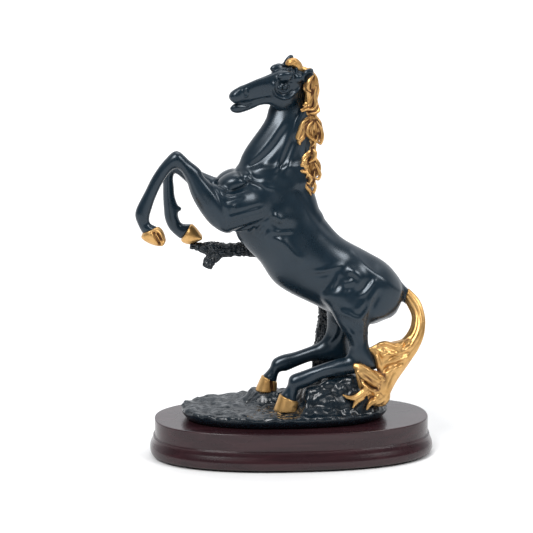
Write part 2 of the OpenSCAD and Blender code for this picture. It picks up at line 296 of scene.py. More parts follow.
iron = start("turned_steel")
lathe = iron.node("ShaderNodeTexNoise", None, {0: iron, "Scale": 2.5, "Detail": 3.0})
finish("turned_steel", lathe.mix((0.42, 0.42, 0.43, 1), (0.6, 0.6, 0.6, 1)), lathe * 0.2 + 0.25,
       metallic=1.0)
for node, material in (("baize_pad", "baize_cloth"), ("fixing_screws", "turned_steel"),
                       ("screw_washers", "turned_steel"), ("joint_pins", "turned_steel")):
    kept = bpy.data.objects[node]
    kept.data.materials.clear()
    kept.data.materials.append(bpy.data.materials[material])

# ---------------------------------------------------------------- ground
# Cast rock: an oval slab undercut at its foot, chipped all over its top, with a mound that carries
# the hocks and a ledge for the far hind hoof. Black patina like the horse, a little duller, with its
# hollows darkened as painted shade.


def hashed(cells, salt):
    """A number from 0 to 1 for each whole-number cell, always the same one."""
    n = cells[..., 0] * 127.1 + cells[..., 1] * 311.7 + cells[..., 2] * 74.7 + salt * 53.3
    return np.modf(np.abs(np.sin(n) * 43758.5453))[0]


def cloudy(p, size, salt=0.0):
    """Smooth noise from 0 to 1: hashed numbers on cell corners, blended with 3t^2 - 2t^3."""
    q = p / size
    cell = np.floor(q)
    t = q - cell
    t = t * t * (3 - 2 * t)
    total = 0.0
    for dx in (0, 1):
        for dy in (0, 1):
            for dz in (0, 1):
                share = (t[..., 0] if dx else 1 - t[..., 0]) * (t[..., 1] if dy else 1 - t[..., 1]) \
                    * (t[..., 2] if dz else 1 - t[..., 2])
                total = total + share * hashed(cell + (dx, dy, dz), salt)
    return total


def chips(p, size, salt=0.0):
    """How far each point is from the nearest of one random point per cell, in cells."""
    q = p / size
    cell = np.floor(q)
    nearest = np.full(q.shape[:-1], 9.0)
    for dx in (-1, 0, 1):
        for dy in (-1, 0, 1):
            for dz in (-1, 0, 1):
                c = cell + (dx, dy, dz)
                seed = c + np.stack([hashed(c, salt + k) for k in (1, 2, 3)], -1)
                nearest = np.minimum(nearest, ((q - seed) ** 2).sum(-1))
    return np.sqrt(nearest)


def ramp(t):
    """3t^2 - 2t^3 held between 0 and 1."""
    t = np.clip(t, 0, 1)
    return t * t * (3 - 2 * t)


SLAB = TOP + 8.5
SLAB_MID = np.array([-5.0, -1.0])
SLAB_HALF = (73.0, 41.0)
SLAB_OVAL = 2.3
ROCK_COLUMNS = 560
ROLLED_IN = -0.9            # how far the rock's rounded edge comes in at its top


def relief(x, y):
    """Height over the slab: the mound, rising from its toe at x = 1, and the ledge of the far hind hoof."""
    mound = (16 * ramp((x - 1) / 9) + 8 * ramp((x - 5) / 33)) * ramp((76 - x) / 26) \
        * ramp((y + 35) / 13) * ramp((42 - y) / 10)
    ledge = 6.5 * ramp((20 - np.hypot(x + 15, y - 16)) / 9)
    return np.maximum(mound, ledge)


def facing(rings):
    """Unit normals of a closed tube of points, by the cross product of its two directions."""
    along = np.gradient(rings, axis=0)
    around = np.roll(rings, -1, 1) - np.roll(rings, 1, 1)
    n = np.cross(around, along)
    return n / np.maximum(np.linalg.norm(n, axis=-1, keepdims=True), 1e-9)


angles = np.linspace(0, 2 * math.pi, ROCK_COLUMNS, endpoint=False)
edge = spline([(-5, 0.0), (-3.4, 1.0), (-2, 2.5), (-0.6, 4.4), (0, 6.0), (-0.1, 7.2), (ROLLED_IN, 8.3)], 3)
rings = []
for outset, height in edge:
    x, y = oval(SLAB_HALF, outset, angles, SLAB_OVAL)
    rings.append(np.stack([x + SLAB_MID[0], y + SLAB_MID[1], np.full_like(x, TOP + height)], -1))
for share in np.linspace(0.975, 0.02, 118):
    x, y = oval(SLAB_HALF, ROLLED_IN, angles, SLAB_OVAL)
    x, y = x * share + SLAB_MID[0], y * share + SLAB_MID[1]
    rings.append(np.stack([x, y, SLAB + relief(x, y)], -1))
rings = np.stack(rings)
outward = facing(rings)
height = rings[..., 2]
lumps = ramp(0.95 - chips(rings * (1, 1, 1.3), 9.5)) * 2.1
flakes = ramp(0.9 - chips(rings + 3 * cloudy(rings, 7.0)[..., None], 4.6, 5)) * 0.4
seams = 1 - np.abs(2 * cloudy(rings * (1.0, 1.6, 1.0), 5.2, 2) - 1)
rough = lumps + flakes + 0.7 * (seams**2 - 0.35) + 0.1 * (cloudy(rings, 2.0, 4) - 0.5)
worked = ramp((height - TOP - 5.6) / 2.6)
rough = (rough - 1.25) * worked
rock_points = rings + outward * rough[..., None]
rock_points[..., 2] = np.maximum(rock_points[..., 2], TOP)
# hollow marks the low places of the chipped top, which the rock material darkens as painted shade
hollow = ramp((0.15 - rough) / 1.5) * worked

rock = start("rock_patina")
grit = rock.node("ShaderNodeTexNoise", None, {0: rock, "Scale": 1.1, "Detail": 4.0})
sunk = rock.node("ShaderNodeAttribute", {"attribute_name": "hollow"}, out=2)
pits = grit.node("ShaderNodeBump", None, {"Strength": 0.08, "Distance": 0.0003, "Height": grit})
# patina colour with random grit, darker where hollow is high: painted shade in the recesses
shaded_rock_colour = (sunk * 0.7 + grit * 0.3).mix((0.0035, 0.0105, 0.0175, 1), (0.002, 0.005, 0.008, 1))
rock_finish_with_shade = finish("rock_patina", shaded_rock_colour, grit * 0.12 + 0.22, normal=pits)
ground = shell("rock_ground", rock_points, rock_finish_with_shade,
               marks={"hollow": np.pad(hollow, ((2, 2), (0, 0))).ravel()})
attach(ground, "root")
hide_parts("ground")

# ---------------------------------------------------------------- tree stump and branch
# A dead stump with deep bark stands behind the hocks and bends forward under the horse; its
# branch, with a fork and two broken ends, carries the far fore hoof. Cast and blackened as one.

# front edge x, z, rear edge x, z, middle y, half width: elliptical sections, as are all below
STUMP = [(10, 33, 54, 33, 25, 12), (16.5, 50, 46, 48.5, 26, 10.5), (17.5, 67.5, 42, 67, 27, 10),
         (21, 85, 39.5, 83.5, 28.5, 9), (22, 99, 37.5, 101, 30, 8.4), (14.5, 115, 28.5, 121.5, 31, 7.6),
         (3, 127.5, 13, 138, 31, 7)]
BRANCH = [(3, 127.5, 13, 138, 31, 7), (-8, 134, -4, 145.5, 28, 6), (-21, 136.5, -19, 147, 23, 5.4),
          (-34, 138.5, -34, 148.5, 18, 5), (-46, 138.5, -45, 148.5, 15, 5), (-56, 139, -54, 150, 14, 5),
          (-66, 144, -62.5, 149, 14, 4), (-71, 145, -70.5, 149.5, 13, 3)]
FORK = [(-54, 148, -45, 141, 14, 4.5), (-61, 138, -52.5, 134.5, 13, 4), (-62, 133, -56, 130.5, 12, 3.6)]


def sections(table, steps):
    """Middles and the two half-axis vectors of the elliptical sections of a table, as rows of xyz."""
    t = spline(table, steps)
    middle = np.stack([(t[:, 0] + t[:, 2]) / 2, t[:, 4], (t[:, 1] + t[:, 3]) / 2], 1)
    deep = np.stack([(t[:, 0] - t[:, 2]) / 2, t[:, 4] * 0, (t[:, 1] - t[:, 3]) / 2], 1)
    wide = np.stack([t[:, 5] * 0, t[:, 5], t[:, 5] * 0], 1)
    return middle, deep, wide


def bark(table, steps, columns, depth):
    """Tube through the sections, its skin raised by long ridges that wander as they climb."""
    middle, deep, wide = sections(table, steps)
    a = np.linspace(0, 2 * math.pi, columns, endpoint=False)[None, :, None]
    rings = middle[:, None] + deep[:, None] * np.cos(a) + wide[:, None] * np.sin(a)
    run = np.concatenate([[0], np.cumsum(np.linalg.norm(np.diff(middle, axis=0), axis=1))])[:, None]
    a = a[..., 0]
    out = facing(rings)
    if ((out * (rings - middle[:, None])).sum(-1)).mean() < 0:
        rings, out = rings[:, ::-1], -out[:, ::-1]
        a = a[:, ::-1]
    warp = cloudy(rings, 9.0, 3) * 2.2 + cloudy(rings, 3.5, 6) * 0.8
    spread = np.stack([np.cos(a) * 4 + 0 * run, np.sin(a) * 4 + 0 * run, run * 0.16 + 0 * a], -1)
    plates = 1 - np.abs(2 * cloudy(spread + warp[..., None] * 0.35, 0.9, 8) - 1)
    cracks = 1 - np.abs(2 * cloudy(rings * (1, 1, 0.7), 3.0, 9) - 1)
    lift = depth * (0.9 * plates**2 - 0.9 * cracks**6 + 0.7 * cloudy(rings, 1.3, 11) - 0.75)
    points = rings + out * lift[..., None]
    # hollow marks the cracks and low bark; the rock material darkens them as painted shade
    marks = {"hollow": np.pad(ramp(-lift / depth + 0.2), ((2, 2), (0, 0))).ravel()}
    return points, marks


stump, stump_marks = bark(STUMP, 50, 220, 1.5)
stump = shell("bark_stump", stump, rock_finish_with_shade, marks=stump_marks)
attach(stump, "root")
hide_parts("tree_trunk")
limb_points, limb_marks = bark(BRANCH, 34, 120, 0.9)
limb = shell("bark_branch", limb_points, rock_finish_with_shade, marks=limb_marks)
fork_points, fork_marks = bark(FORK, 34, 96, 0.8)
fork = shell("bark_fork", fork_points, rock_finish_with_shade, marks=fork_marks)
for piece in (limb, fork):
    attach(piece, "root")
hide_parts("tree_branch")

# ---------------------------------------------------------------- horse
# The figure is modelled as a sculptor models it in clay: masses laid along the bones, muscles
# pressed on, creases drawn in. The clay is a field of distances on a fine grid, because limbs that
# melt into a body can't be one grid of two parameters.


class Clay:
    """A block of space in small cells. Each holds its distance in mm to the model's skin, under 0 inside."""

    def __init__(self, low, high, cell):
        self.low, self.cell = np.array(low, float), cell
        self.count = np.ceil((np.array(high) - low) / cell).astype(int) + 1
        self.field = np.full(self.count, 12.0, np.float32)

    def window(self, low, high):
        """The cells between two corners, and their x, y and z as three thin arrays."""
        a = np.clip(np.floor((np.array(low) - self.low) / self.cell).astype(int), 0, self.count)
        b = np.clip(np.ceil((np.array(high) - self.low) / self.cell).astype(int) + 1, 0, self.count)
        cells = tuple(slice(i, j) for i, j in zip(a, b))
        x, y, z = (np.float32(self.low[k]) + np.float32(self.cell) * np.arange(a[k], b[k], dtype=np.float32)
                   for k in range(3))
        return cells, x[:, None, None], y[None, :, None], z[None, None, :]


def melt(a, b, soft):
    """Smooth minimum: min(a, b) less h^2 * soft / 4, where h = 1 - |a - b| / soft, if above 0."""
    h = np.maximum(soft - np.abs(a - b), 0) / soft
    return np.minimum(a, b) - h * h * soft * 0.25


def sweep(block, table, steps=4, strands=None, reach=9.0):
    """Distance to elliptical sections carried along a table, in the cells that they can reach.

    Between two sections, a cell's place t is where the section line turned part of the way from one
    to the other passes through it. There u and v are its offsets along the two half axes d and w,
    k = |u/d, v/w| and the distance is close to k (k - 1) / |u/d^2, v/w^2|.
    """
    t = spline(table, steps)
    lo = np.array([min(t[:, 0].min(), t[:, 2].min()), (t[:, 4] - t[:, 5]).min(),
                   min(t[:, 1].min(), t[:, 3].min())])
    hi = np.array([max(t[:, 0].max(), t[:, 2].max()), (t[:, 4] + t[:, 5]).max(),
                   max(t[:, 1].max(), t[:, 3].max())])
    whole = block.window(lo - reach, hi + reach)
    out = np.full([c.stop - c.start for c in whole[0]], reach, np.float32)
    origin = np.array([c.start for c in whole[0]])
    for n in range(len(t) - 1):
        p, q = t[n], t[n + 1]
        pair = np.stack([p, q])
        lo = np.array([pair[:, [0, 2]].min(), (pair[:, 4] - pair[:, 5]).min(),
                       pair[:, [1, 3]].min()]) - reach
        hi = np.array([pair[:, [0, 2]].max(), (pair[:, 4] + pair[:, 5]).max(),
                       pair[:, [1, 3]].max()]) + reach
        cells, x, y, z = block.window(lo, hi)
        here = tuple(slice(c.start - o, c.stop - o) for c, o in zip(cells, origin))
        (cx, cz), (gx, gz) = ((p[0] + p[2]) / 2, (p[1] + p[3]) / 2), ((q[0] + q[2]) / 2, (q[1] + q[3]) / 2)
        (ex, ez), (hx, hz) = ((p[0] - p[2]) / 2, (p[1] - p[3]) / 2), ((q[0] - q[2]) / 2, (q[1] - q[3]) / 2)
        # signed distances past the first and the second section line
        way = np.sign((gx - cx) * -ez + (gz - cz) * ex) or 1.0
        one = ((x - cx) * -ez + (z - cz) * ex) * (way / math.hypot(ex, ez))
        two = ((x - gx) * -hz + (z - gz) * hx) * (way / math.hypot(hx, hz))
        gap = one - two
        s = np.clip(one / np.where(gap > 1e-3, gap, 1.0), 0, 1)
        past = np.where(one < 0, -one, np.where(two > 0, two, 0))
        past = np.where(gap > 1e-3, past, reach)
        mx, mz = cx + s * (gx - cx), cz + s * (gz - cz)
        ax, az = ex + s * (hx - ex), ez + s * (hz - ez)
        d = np.sqrt(ax * ax + az * az)
        u = ((x - mx) * ax + (z - mz) * az) / d
        v = y - (p[4] + s * (q[4] - p[4]))
        w = p[5] + s * (q[5] - p[5])
        k = np.sqrt((u / d) ** 2 + (v / w) ** 2) + 1e-6
        f = k * (k - 1) / (np.sqrt((u / d**2) ** 2 + (v / w**2) ** 2) + 1e-6)
        if strands:
            count, depth, twist = strands
            turn = np.arctan2(v / w, u / d + 0 * v)
            comb = (1 - np.abs(np.sin(turn * count / 2 + twist * (n + s) / len(t)))) ** 1.5
            f = f + depth * (comb - 0.35)
        f = np.where(past > 0, np.sqrt(np.maximum(f, 0) ** 2 + past**2), f)
        out[here] = np.minimum(out[here], f)
    return whole[0], out


def mass(block, table, soft=2.5, steps=4, side=1, strands=None):
    """Adds a swept mass, melted on over `soft` mm; side -1 turns the table over to the near side."""
    t = np.array(table, float)
    t[:, 4] *= side
    cells, f = sweep(block, t, steps, strands)
    block.field[cells] = melt(block.field[cells], f, soft)


def egg(block, x, y, z, long, thick, deep, tilt=0.0, soft=3.0, out=False):
    """Adds, or with out takes away, an ellipsoid of half axes long, thick and deep; deep lies along y."""
    c, s = math.cos(math.radians(tilt)), math.sin(math.radians(tilt))
    r = max(long, thick, deep) + 6
    cells, gx, gy, gz = block.window((x - r, y - deep - 6, z - r), (x + r, y + deep + 6, z + r))
    u, w, v = (gx - x) * c + (gz - z) * s, (gz - z) * c - (gx - x) * s, gy - y
    k = np.sqrt((u / long) ** 2 + (w / thick) ** 2 + (v / deep) ** 2) + 1e-6
    f = k * (k - 1) / (np.sqrt((u / long**2) ** 2 + (w / thick**2) ** 2 + (v / deep**2) ** 2) + 1e-6)
    block.field[cells] = -melt(-block.field[cells], f, soft) if out else melt(block.field[cells], f, soft)


def draw(block, line, depth, width, side, fade=2.0, inner=3.0):
    """Draws a stroke into one side: raises the field by depth * e^-(r/width)^2, r off the line in side view.

    A stroke under 0 in depth is a raised ridge. The line is x, z points run smooth; it fades over its
    last `fade` mm and works from `inner` mm off the middle plane outwards.
    """
    p = spline(line, 5)
    run = np.concatenate([[0], np.cumsum(np.hypot(*np.diff(p, axis=0).T))])
    strong = ramp(np.minimum(run, run[-1] - run) / fade * 0.85 + 0.15)
    r = width * 2.6
    ys = (inner, 40) if side > 0 else (-40, -inner)
    cells, gx, gy, gz = block.window((p[:, 0].min() - r, ys[0], p[:, 1].min() - r),
                                     (p[:, 0].max() + r, ys[1], p[:, 1].max() + r))
    x, z = gx[:, 0, :], gz[:, 0, :]
    best, power = np.full((x + z).shape, 1e9, np.float32), np.zeros((x + z).shape, np.float32)
    for a, b, sa, sb in zip(p[:-1], p[1:], strong[:-1], strong[1:]):
        ab = b - a
        t = np.clip(((x - a[0]) * ab[0] + (z - a[1]) * ab[1]) / max(ab @ ab, 1e-9), 0, 1)
        dd = (x - a[0] - t * ab[0]) ** 2 + (z - a[1] - t * ab[1]) ** 2
        closer = dd < best
        best, power = np.where(closer, dd, best), np.where(closer, sa + t * (sb - sa), power)
    stroke = depth * power * np.exp(-best / width**2)
    reach = ramp((gy * side - inner) / 3.0)
    block.field[cells] += (stroke[:, None, :] * reach).astype(np.float32)


def lock(block, line, y, soft=0.8, strands=(7, 0.45, 5.0), flat=0.75):
    """A strap of hair: sections square to a line of x, z and half width, at depths y.

    It is `flat` times as thick as it is wide.
    """
    t = np.array(line, float)
    along = np.gradient(t[:, :2], axis=0)
    across = np.stack([-along[:, 1], along[:, 0]], 1) / np.linalg.norm(along, axis=1, keepdims=True)
    front, rear = t[:, :2] + across * t[:, 2:], t[:, :2] - across * t[:, 2:]
    table = np.column_stack([front, rear, np.interp(np.arange(len(t)), np.linspace(0, len(t) - 1, len(y)),
                                                    y),
                             t[:, 2] * flat + 0.35])
    mass(block, table, soft, 5, 1, strands)


BARREL = [(77.6, 115, 76.8, 107, 0, 7), (75.4, 125, 70, 98.5, 0, 14), (66.3, 135.6, 56, 91.8, 0, 18.5),
          (52, 144.2, 36, 95, 0, 20.5), (35, 154, 19, 105, 0, 20), (24, 166, -2, 115.6, 0, 20.5),
          (21.5, 171, -13.5, 124.3, 0, 20.3),
          (19, 175, -22.5, 137.8, 0, 20), (17.5, 180, -32, 147.8, 0, 19), (16, 185, -39.5, 158.8, 0, 18),
          (13, 196, -43, 184, 0, 15.5), (10, 206, -38, 203, 0, 13.5)]
NECK = [(13, 196, -43, 184, 0, 14), (10, 206, -38, 203, 0, 12.8), (9, 217, -33, 216, 0.5, 11),
        (9, 237, -19.4, 235, 2.5, 8.4), (9.5, 250, -16, 244, 4.6, 6.4), (8.5, 261, -12, 254, 3.6, 6),
        (8, 267, -5, 261, 1.5, 5.6)]
THIGH = [(42, 142, 74, 116, 8, 10), (28, 126, 66, 101, 13, 10.5), (23, 115, 54, 98, 15.5, 9.5),
         (28, 101, 52.5, 95, 16.5, 8.4), (33.5, 91, 52, 89.5, 17.2, 7.4)]
NEAR_HIND = [(33.5, 91, 52, 89.5, -17.2, 7.4), (38.5, 82.5, 52.5, 80.5, -17.8, 6.3),
             (38, 76.5, 56, 74, -18.3, 6),
             (36, 72.5, 58.5, 64, -18.5, 5.9), (30, 71, 32.5, 59.5, -18.5, 5.2),
             (16, 66.5, 20, 57, -18.5, 4.7),
             (6.5, 63, 10, 52, -18.5, 5), (-2.5, 59.5, 3.5, 49.5, -18.5, 5.3),
             (-4.5, 53, 2.5, 47, -18.5, 4.7),
             (-7, 49, 1.5, 43.5, -18.5, 4.7), (-9.5, 46.5, 2.5, 40.5, -18.5, 5.6)]
FAR_THIGH = [(42, 142, 74, 116, 8, 10), (30, 124, 66, 99, 12, 11), (26, 108, 52, 92, 14, 9.5),
             (26.5, 96, 46, 86, 14.5, 8.2)]
FAR_HIND = [(26.5, 96, 46, 86, 14.5, 8.2), (26.5, 86, 43, 76, 14.5, 6.8), (24, 79, 43.5, 64, 14.5, 6.1),
            (20, 75, 29, 61.5, 14.5, 5.5), (16.5, 73.5, 17.5, 62.5, 14.5, 5),
            (3.5, 69, 7.5, 59.5, 14.5, 4.8),
            (-5.5, 67, -2, 55.5, 14.5, 5.1), (-12, 63.5, -6.5, 55, 14.5, 5.1),
            (-14.5, 57.5, -8.5, 52.5, 14.5, 4.7),
            (-19.5, 52, -9.5, 47.5, 14.5, 5.6)]
NEAR_FORE = [(-22, 192, -12, 170, -10, 8), (-34, 192, -30, 163.5, -15, 9.5),
             (-41, 191, -39.5, 161.4, -16.5, 9.8),
             (-46, 191.5, -48.5, 161.6, -17.5, 9.8), (-50, 193, -57.3, 167.2, -18, 9.2),
             (-53, 194.5, -64, 175.5, -18, 8.6),
             (-56, 196.4, -69, 184, -18, 8), (-60.5, 201, -72, 191, -18, 7),
             (-65.5, 206.5, -74.2, 197.5, -18, 6.2),
             (-71.5, 211.3, -77.5, 203.5, -18, 5.5), (-80.5, 218.5, -80.5, 206, -18, 5.6),
             (-89, 212, -84, 205, -18, 4.9),
             (-96.5, 202, -89.5, 198, -18, 4.2), (-102.5, 190.5, -95, 187, -18, 4.2),
             (-108, 180, -98.5, 177, -18, 4.6),
             (-109.3, 174, -99.5, 173, -18, 4.8), (-107.5, 168, -99, 168.5, -18, 4.4),
             (-104.5, 162, -94, 166, -18, 5.2)]
FAR_FORE = [(-22, 192, -12, 170, 8, 8), (-34, 193, -28, 166, 11, 9), (-46, 193, -44, 166, 14, 9),
            (-54, 196, -60, 176, 15, 8.4),
            (-63.5, 200, -69, 188, 15, 7.2), (-74.5, 205, -77, 196, 15, 5.8),
            (-84, 206.5, -81, 198.5, 15, 5.5),
            (-89.3, 201, -82, 194.5, 15, 4.9), (-89.3, 190, -81.6, 189.5, 15, 4.2),
            (-89.3, 181.5, -81, 182, 15, 4.2),
            (-88.9, 174, -78.7, 174.5, 15, 4.5), (-88, 166, -78.8, 168.5, 15, 4.8),
            (-84.5, 158.5, -76.2, 163, 15, 4.4),
            (-77.5, 152, -69.5, 162.5, 15, 5.4)]
DOCK = [(70, 128, 70, 108, 0, 7), (75, 124, 75, 109, 0, 5.4), (80, 119, 78.5, 107.7, 0, 4.7),
        (85, 114, 81.5, 105, 0, 4.4)]

body = Clay((-114, -32, 38), (90, 34, 278), 0.65)
near, far = -1, 1

mass(body, BARREL, 2, 5)
mass(body, NECK, 6, 5)
mass(body, THIGH, 7, side=near)
mass(body, FAR_THIGH, 7)
mass(body, NEAR_HIND, 1.5)
mass(body, FAR_HIND, 1.5)
mass(body, NEAR_FORE, 3.5)
mass(body, FAR_FORE, 3.5)
mass(body, DOCK, 3)

# shoulders, chest and forehand
for side in (near, far):
    egg(body, -15, 8.5 * side, 184, 22, 13, 9.5, 128, 7)         # shoulder blade
    egg(body, -40.5, 8.5 * side, 194.8, 12.5, 7.6, 10.4, 14, 3.5)    # point of the shoulder
    egg(body, -36, 11.5 * side, 184.5, 12.5, 5.2, 9.0, 12, 1.8)  # arm muscle under it
    egg(body, -33, 12.5 * side, 177, 14, 5.2, 8.2, 4, 1.8)
    egg(body, -29, 12.5 * side, 170, 15, 4.6, 8.0, 12, 2.2)      # elbow muscle
    egg(body, -9, 12 * side, 171, 11, 8, 8.6, -28, 5)            # behind the elbow
    egg(body, -4, 10 * side, 149, 22, 9, 9.5, -58, 7)            # rib arch
    egg(body, -42, 4.5 * side, 180, 7, 11, 6.5, 20, 3)           # breast
    egg(body, 41.5, 12.5 * side, 130.5, 8.5, 7, 8.5, -20, 4)       # haunch
    egg(body, 57, 7.5 * side, 119, 12, 15, 12.5, -30, 6)             # croup
    egg(body, 30, 15.5 * side, 116.5, 10, 6.5, 7.2, 0, 4)          # stifle
    egg(body, 50, 13 * side, 112, 7, 16, 7.5, 18, 5)             # back of the thigh
    egg(body, 65, 5.5 * side, 109, 8, 11, 8, 25, 5)                # buttock

# line, depth, width, then how far its ends fade and how far off the middle plane it starts
STROKES = [
    ([(-35.7, 201.7), (-33.7, 199.7), (-30.9, 197.7), (-26.9, 196.4), (-22.3, 194.2), (-17.7, 192.4),
      (-12, 191.3)], -0.9, 1.0, 6, 4),
    ([(-41, 203.3), (-37.5, 202), (-34.5, 198.9), (-31, 195.9), (-26, 194.2), (-20, 191.9)],
     1.4, 1.3, 6, 4),
    ([(-24.5, 197.3), (-20, 196.2), (-15.5, 195)], -0.7, 0.9, 4, 4),
    ([(-33, 202.8), (-30.3, 199.2)], -0.8, 0.9, 1.5, 4),
    ([(-31.5, 203.2), (-27.5, 198.6), (-21, 198)], 0.7, 1.1, 4, 4),
    ([(-3, 236), (-7.1, 228), (-14.3, 218.0), (-23.6, 209.5), (-32.8, 203.3)], 1.5, 2.0, 10, 3),
    ([(-4, 240), (-11.6, 230), (-18.1, 221.6), (-27.4, 211.5), (-36.0, 204.8)], -0.9, 2.2, 10, 3),
    ([(2, 232), (-1.3, 222), (-5.3, 213), (-9.2, 205.0), (-14.5, 196.8)], 1.3, 1.9, 12, 3),
    ([(-3, 226), (-6.6, 218.2), (-10.2, 209), (-13.5, 201)], -0.8, 1.6, 8, 3),
    ([(4, 226), (1.0, 217), (-3.0, 208), (-6, 200)], -0.6, 2.0, 8, 3),
    ([(-50.5, 189.0), (-42.0, 190.2), (-36.1, 192.6), (-30.2, 196.2)], 1.5, 1.1, 5),
    ([(-49, 186.4), (-45, 186.9), (-41.5, 187.9)], -0.7, 0.8, 2.5),
    ([(-49, 184.2), (-42, 184.8), (-34, 187)], 1.0, 1.0, 5),
    ([(-47.9, 182.2), (-48, 178.6)], -0.7, 1.0, 1.5),
    ([(-45, 180.7), (-41, 180.9)], -0.7, 1.1, 2),
    ([(-47, 175.4), (-38.4, 177), (-29.2, 179.2), (-21.2, 180.6)], 1.1, 0.9, 5),
    ([(-45, 173.7), (-41.5, 172.9)], -0.7, 0.8, 1.5),
    ([(-46, 170.9), (-35.5, 173.8), (-26.9, 175.6), (-18.3, 177.2)], 0.9, 0.9, 5),
    ([(-45.5, 168), (-32.6, 171.2), (-24, 173), (-17.5, 174.1)], 0.9, 0.9, 4),
    ([(-45, 161.5), (-35.4, 165.4), (-25.5, 168.7), (-18.9, 171.8), (-16.6, 174.4)], 1.7, 1.2, 4),
    ([(-34, 162.6), (-29.5, 164)], -0.7, 1.3, 2),
    ([(-25.2, 166.8), (-26.3, 163.2), (-27.6, 159.4)], -0.9, 0.9, 2),
    ([(-27.6, 166), (-28.8, 161.5), (-29.6, 158.5)], 0.8, 0.9, 2.5),
    ([(-20.6, 166.4), (-22.2, 163), (-24.3, 160.4)], -1.1, 1.4, 2),
    ([(-23.4, 166.6), (-24.6, 163.4), (-25.6, 160)], 0.9, 0.8, 2),
    ([(-17.8, 162.9), (-19.5, 157)], -1.0, 1.1, 1.5),
    ([(-19, 165.6), (-20.2, 161.4), (-22, 157.6)], 0.9, 0.9, 2),
    ([(-15.4, 174.3), (-11.9, 171.9), (-8, 167.9)], -1.6, 2.6, 3),
    ([(-17, 170), (-13.5, 167.4), (-10, 164.4)], 0.9, 1.8, 4),
    ([(-15.5, 161.3), (-8, 161.6), (-0.8, 161.9)], -1.2, 0.9, 4),
    ([(-16, 159), (-8, 159.3), (-1, 159.8)], 0.7, 1.1, 4),
    ([(-14.8, 158), (-8.5, 154.8), (-4, 150), (0.6, 144.8), (6.3, 140)], -1.7, 3.0, 8),
    ([(1, 195), (8.3, 181.4), (15.0, 170.6), (23.7, 160.4), (33.7, 151.6)], 1.0, 2.0, 14, 2),
    ([(10, 133.4), (14.3, 133.7), (19.2, 134.0), (23.1, 134.7), (26.5, 135.9), (29.4, 136.9),
      (32.4, 137.6), (36, 137.4)], -1.1, 1.4, 8),
    ([(11, 131.2), (15, 131.3), (20, 131.8), (24.5, 132.8), (28.5, 134.4)], 0.8, 2.2, 7),
    ([(36.2, 135), (39.5, 134), (43, 132), (45.4, 128.8), (44.4, 125.3), (40.8, 122)], -1.4, 2.9, 5),
    ([(37, 130.4), (39.6, 130.6), (41.4, 130.6)], 1.0, 2.5, 2),
    ([(33.3, 125.7), (37.2, 125.3), (39.8, 126.8), (41.6, 129.2)], -1.0, 1.6, 3),
    ([(34, 122.6), (37, 121.6), (39, 119.6)], 1.0, 3.0, 3),
    ([(43.5, 116.9), (47.5, 118), (50.4, 120.4), (53.3, 123.9), (55.9, 127), (56.9, 128.6)], -1.2, 1.2, 4),
    ([(42, 119.3), (46.5, 120.4), (49, 122.8), (51.8, 126.4), (53.4, 129.6)], 1.1, 2.7, 5),
    ([(57.4, 123.8), (55.9, 118.9), (53.6, 115.2), (52.3, 112.4), (51.3, 109), (49.7, 105.6),
      (47.3, 102.4), (44.5, 101), (40.6, 102), (37.6, 103.7), (33.8, 105.3), (30.4, 107.7)], -1.4, 1.9, 8),
    ([(59.5, 121), (57.8, 117), (55.6, 112.8), (53.8, 109.2), (52.6, 105.6), (52, 101.8), (51.5, 96.5)],
     1.4, 2.4, 6),
    ([(48.3, 114.2), (47.2, 111.4), (45.6, 109), (43.6, 107.3), (41, 106.6)], -1.1, 1.8, 4),
    ([(50.6, 114), (49.4, 110.4), (47.8, 107.2), (45.2, 104.8)], 0.8, 1.7, 4),
    ([(31.5, 110.4), (36, 108.4), (39.5, 108.6)], 0.7, 2.5, 4),
    ([(29.6, 132), (28.8, 127.4), (27, 124), (24.9, 121.9), (23, 119)], -1.1, 1.5, 5),
    ([(32, 131.6), (31, 126), (29, 122.2), (26.3, 119.6)], 1.0, 2.0, 4),
    ([(27.4, 133), (26, 128.4), (24, 124.4), (21.2, 120.2), (20.4, 115.6)], 0.9, 2.2, 5),
]
for side in (near, far):
    for line, depth, width, *limits in STROKES:
        draw(body, line, depth, width, side, *limits)
draw(body, [(33.5, 98.5), (38, 92), (41, 87), (42, 80)], -0.8, 1.5, near, 6)
draw(body, [(37.6, 98.5), (41.6, 92), (44.2, 86), (44.6, 79)], 0.8, 1.4, near, 6)
draw(body, [(51, 102), (50.0, 96), (49.6, 89.3), (49.2, 80.4)], 1.1, 1.2, near, 5)
draw(body, [(12.0, 60.4), (19.5, 64.6), (26, 66), (33, 66.4)], -0.5, 1.3, near, 6)
draw(body, [(6, 56), (14, 60.2), (22, 62.6), (31, 63)], 0.4, 1.2, near, 6)
draw(body, [(46, 72), (50, 69), (53, 65.5)], 0.6, 2.0, near, 4)
draw(body, [(32.8, 98), (32.6, 88), (30.4, 80), (25, 76)], -0.7, 1.3, far, 6)
draw(body, [(36, 97), (35.6, 88), (34, 81), (29, 76)], 0.8, 1.2, far, 6)
draw(body, [(-77.5, 211.5), (-72.5, 201), (-68, 191.5), (-63.4, 184), (-57, 177)], -0.7, 1.6, near, 8)
draw(body, [(-80, 208), (-75.4, 199), (-71, 190)], 0.4, 1.6, near, 6)
draw(body, [(-65, 204.5), (-57.8, 195.8), (-52.6, 187.5), (-50, 180), (-48.4, 171), (-47.5, 164.5)], 1.6,
     1.3, near, 5)
draw(body, [(-59.8, 175.2), (-56.2, 170.8), (-51.9, 164.6)], 0.5, 1.4, near, 5)
draw(body, [(-104, 178), (-100, 190), (-94, 202)], -0.35, 1.2, near, 8)
draw(body, [(-105.5, 171.5), (-103.2, 168.6), (-100.5, 166.8)], 0.5, 1.3, near, 3)
egg(body, -79.2, 15, 173.6, 1.8, 3, 3, 80, 1.5)
draw(body, [(-85.8, 196), (-85.8, 186), (-85, 176), (-84, 168)], -0.5, 1.3, far, 8)

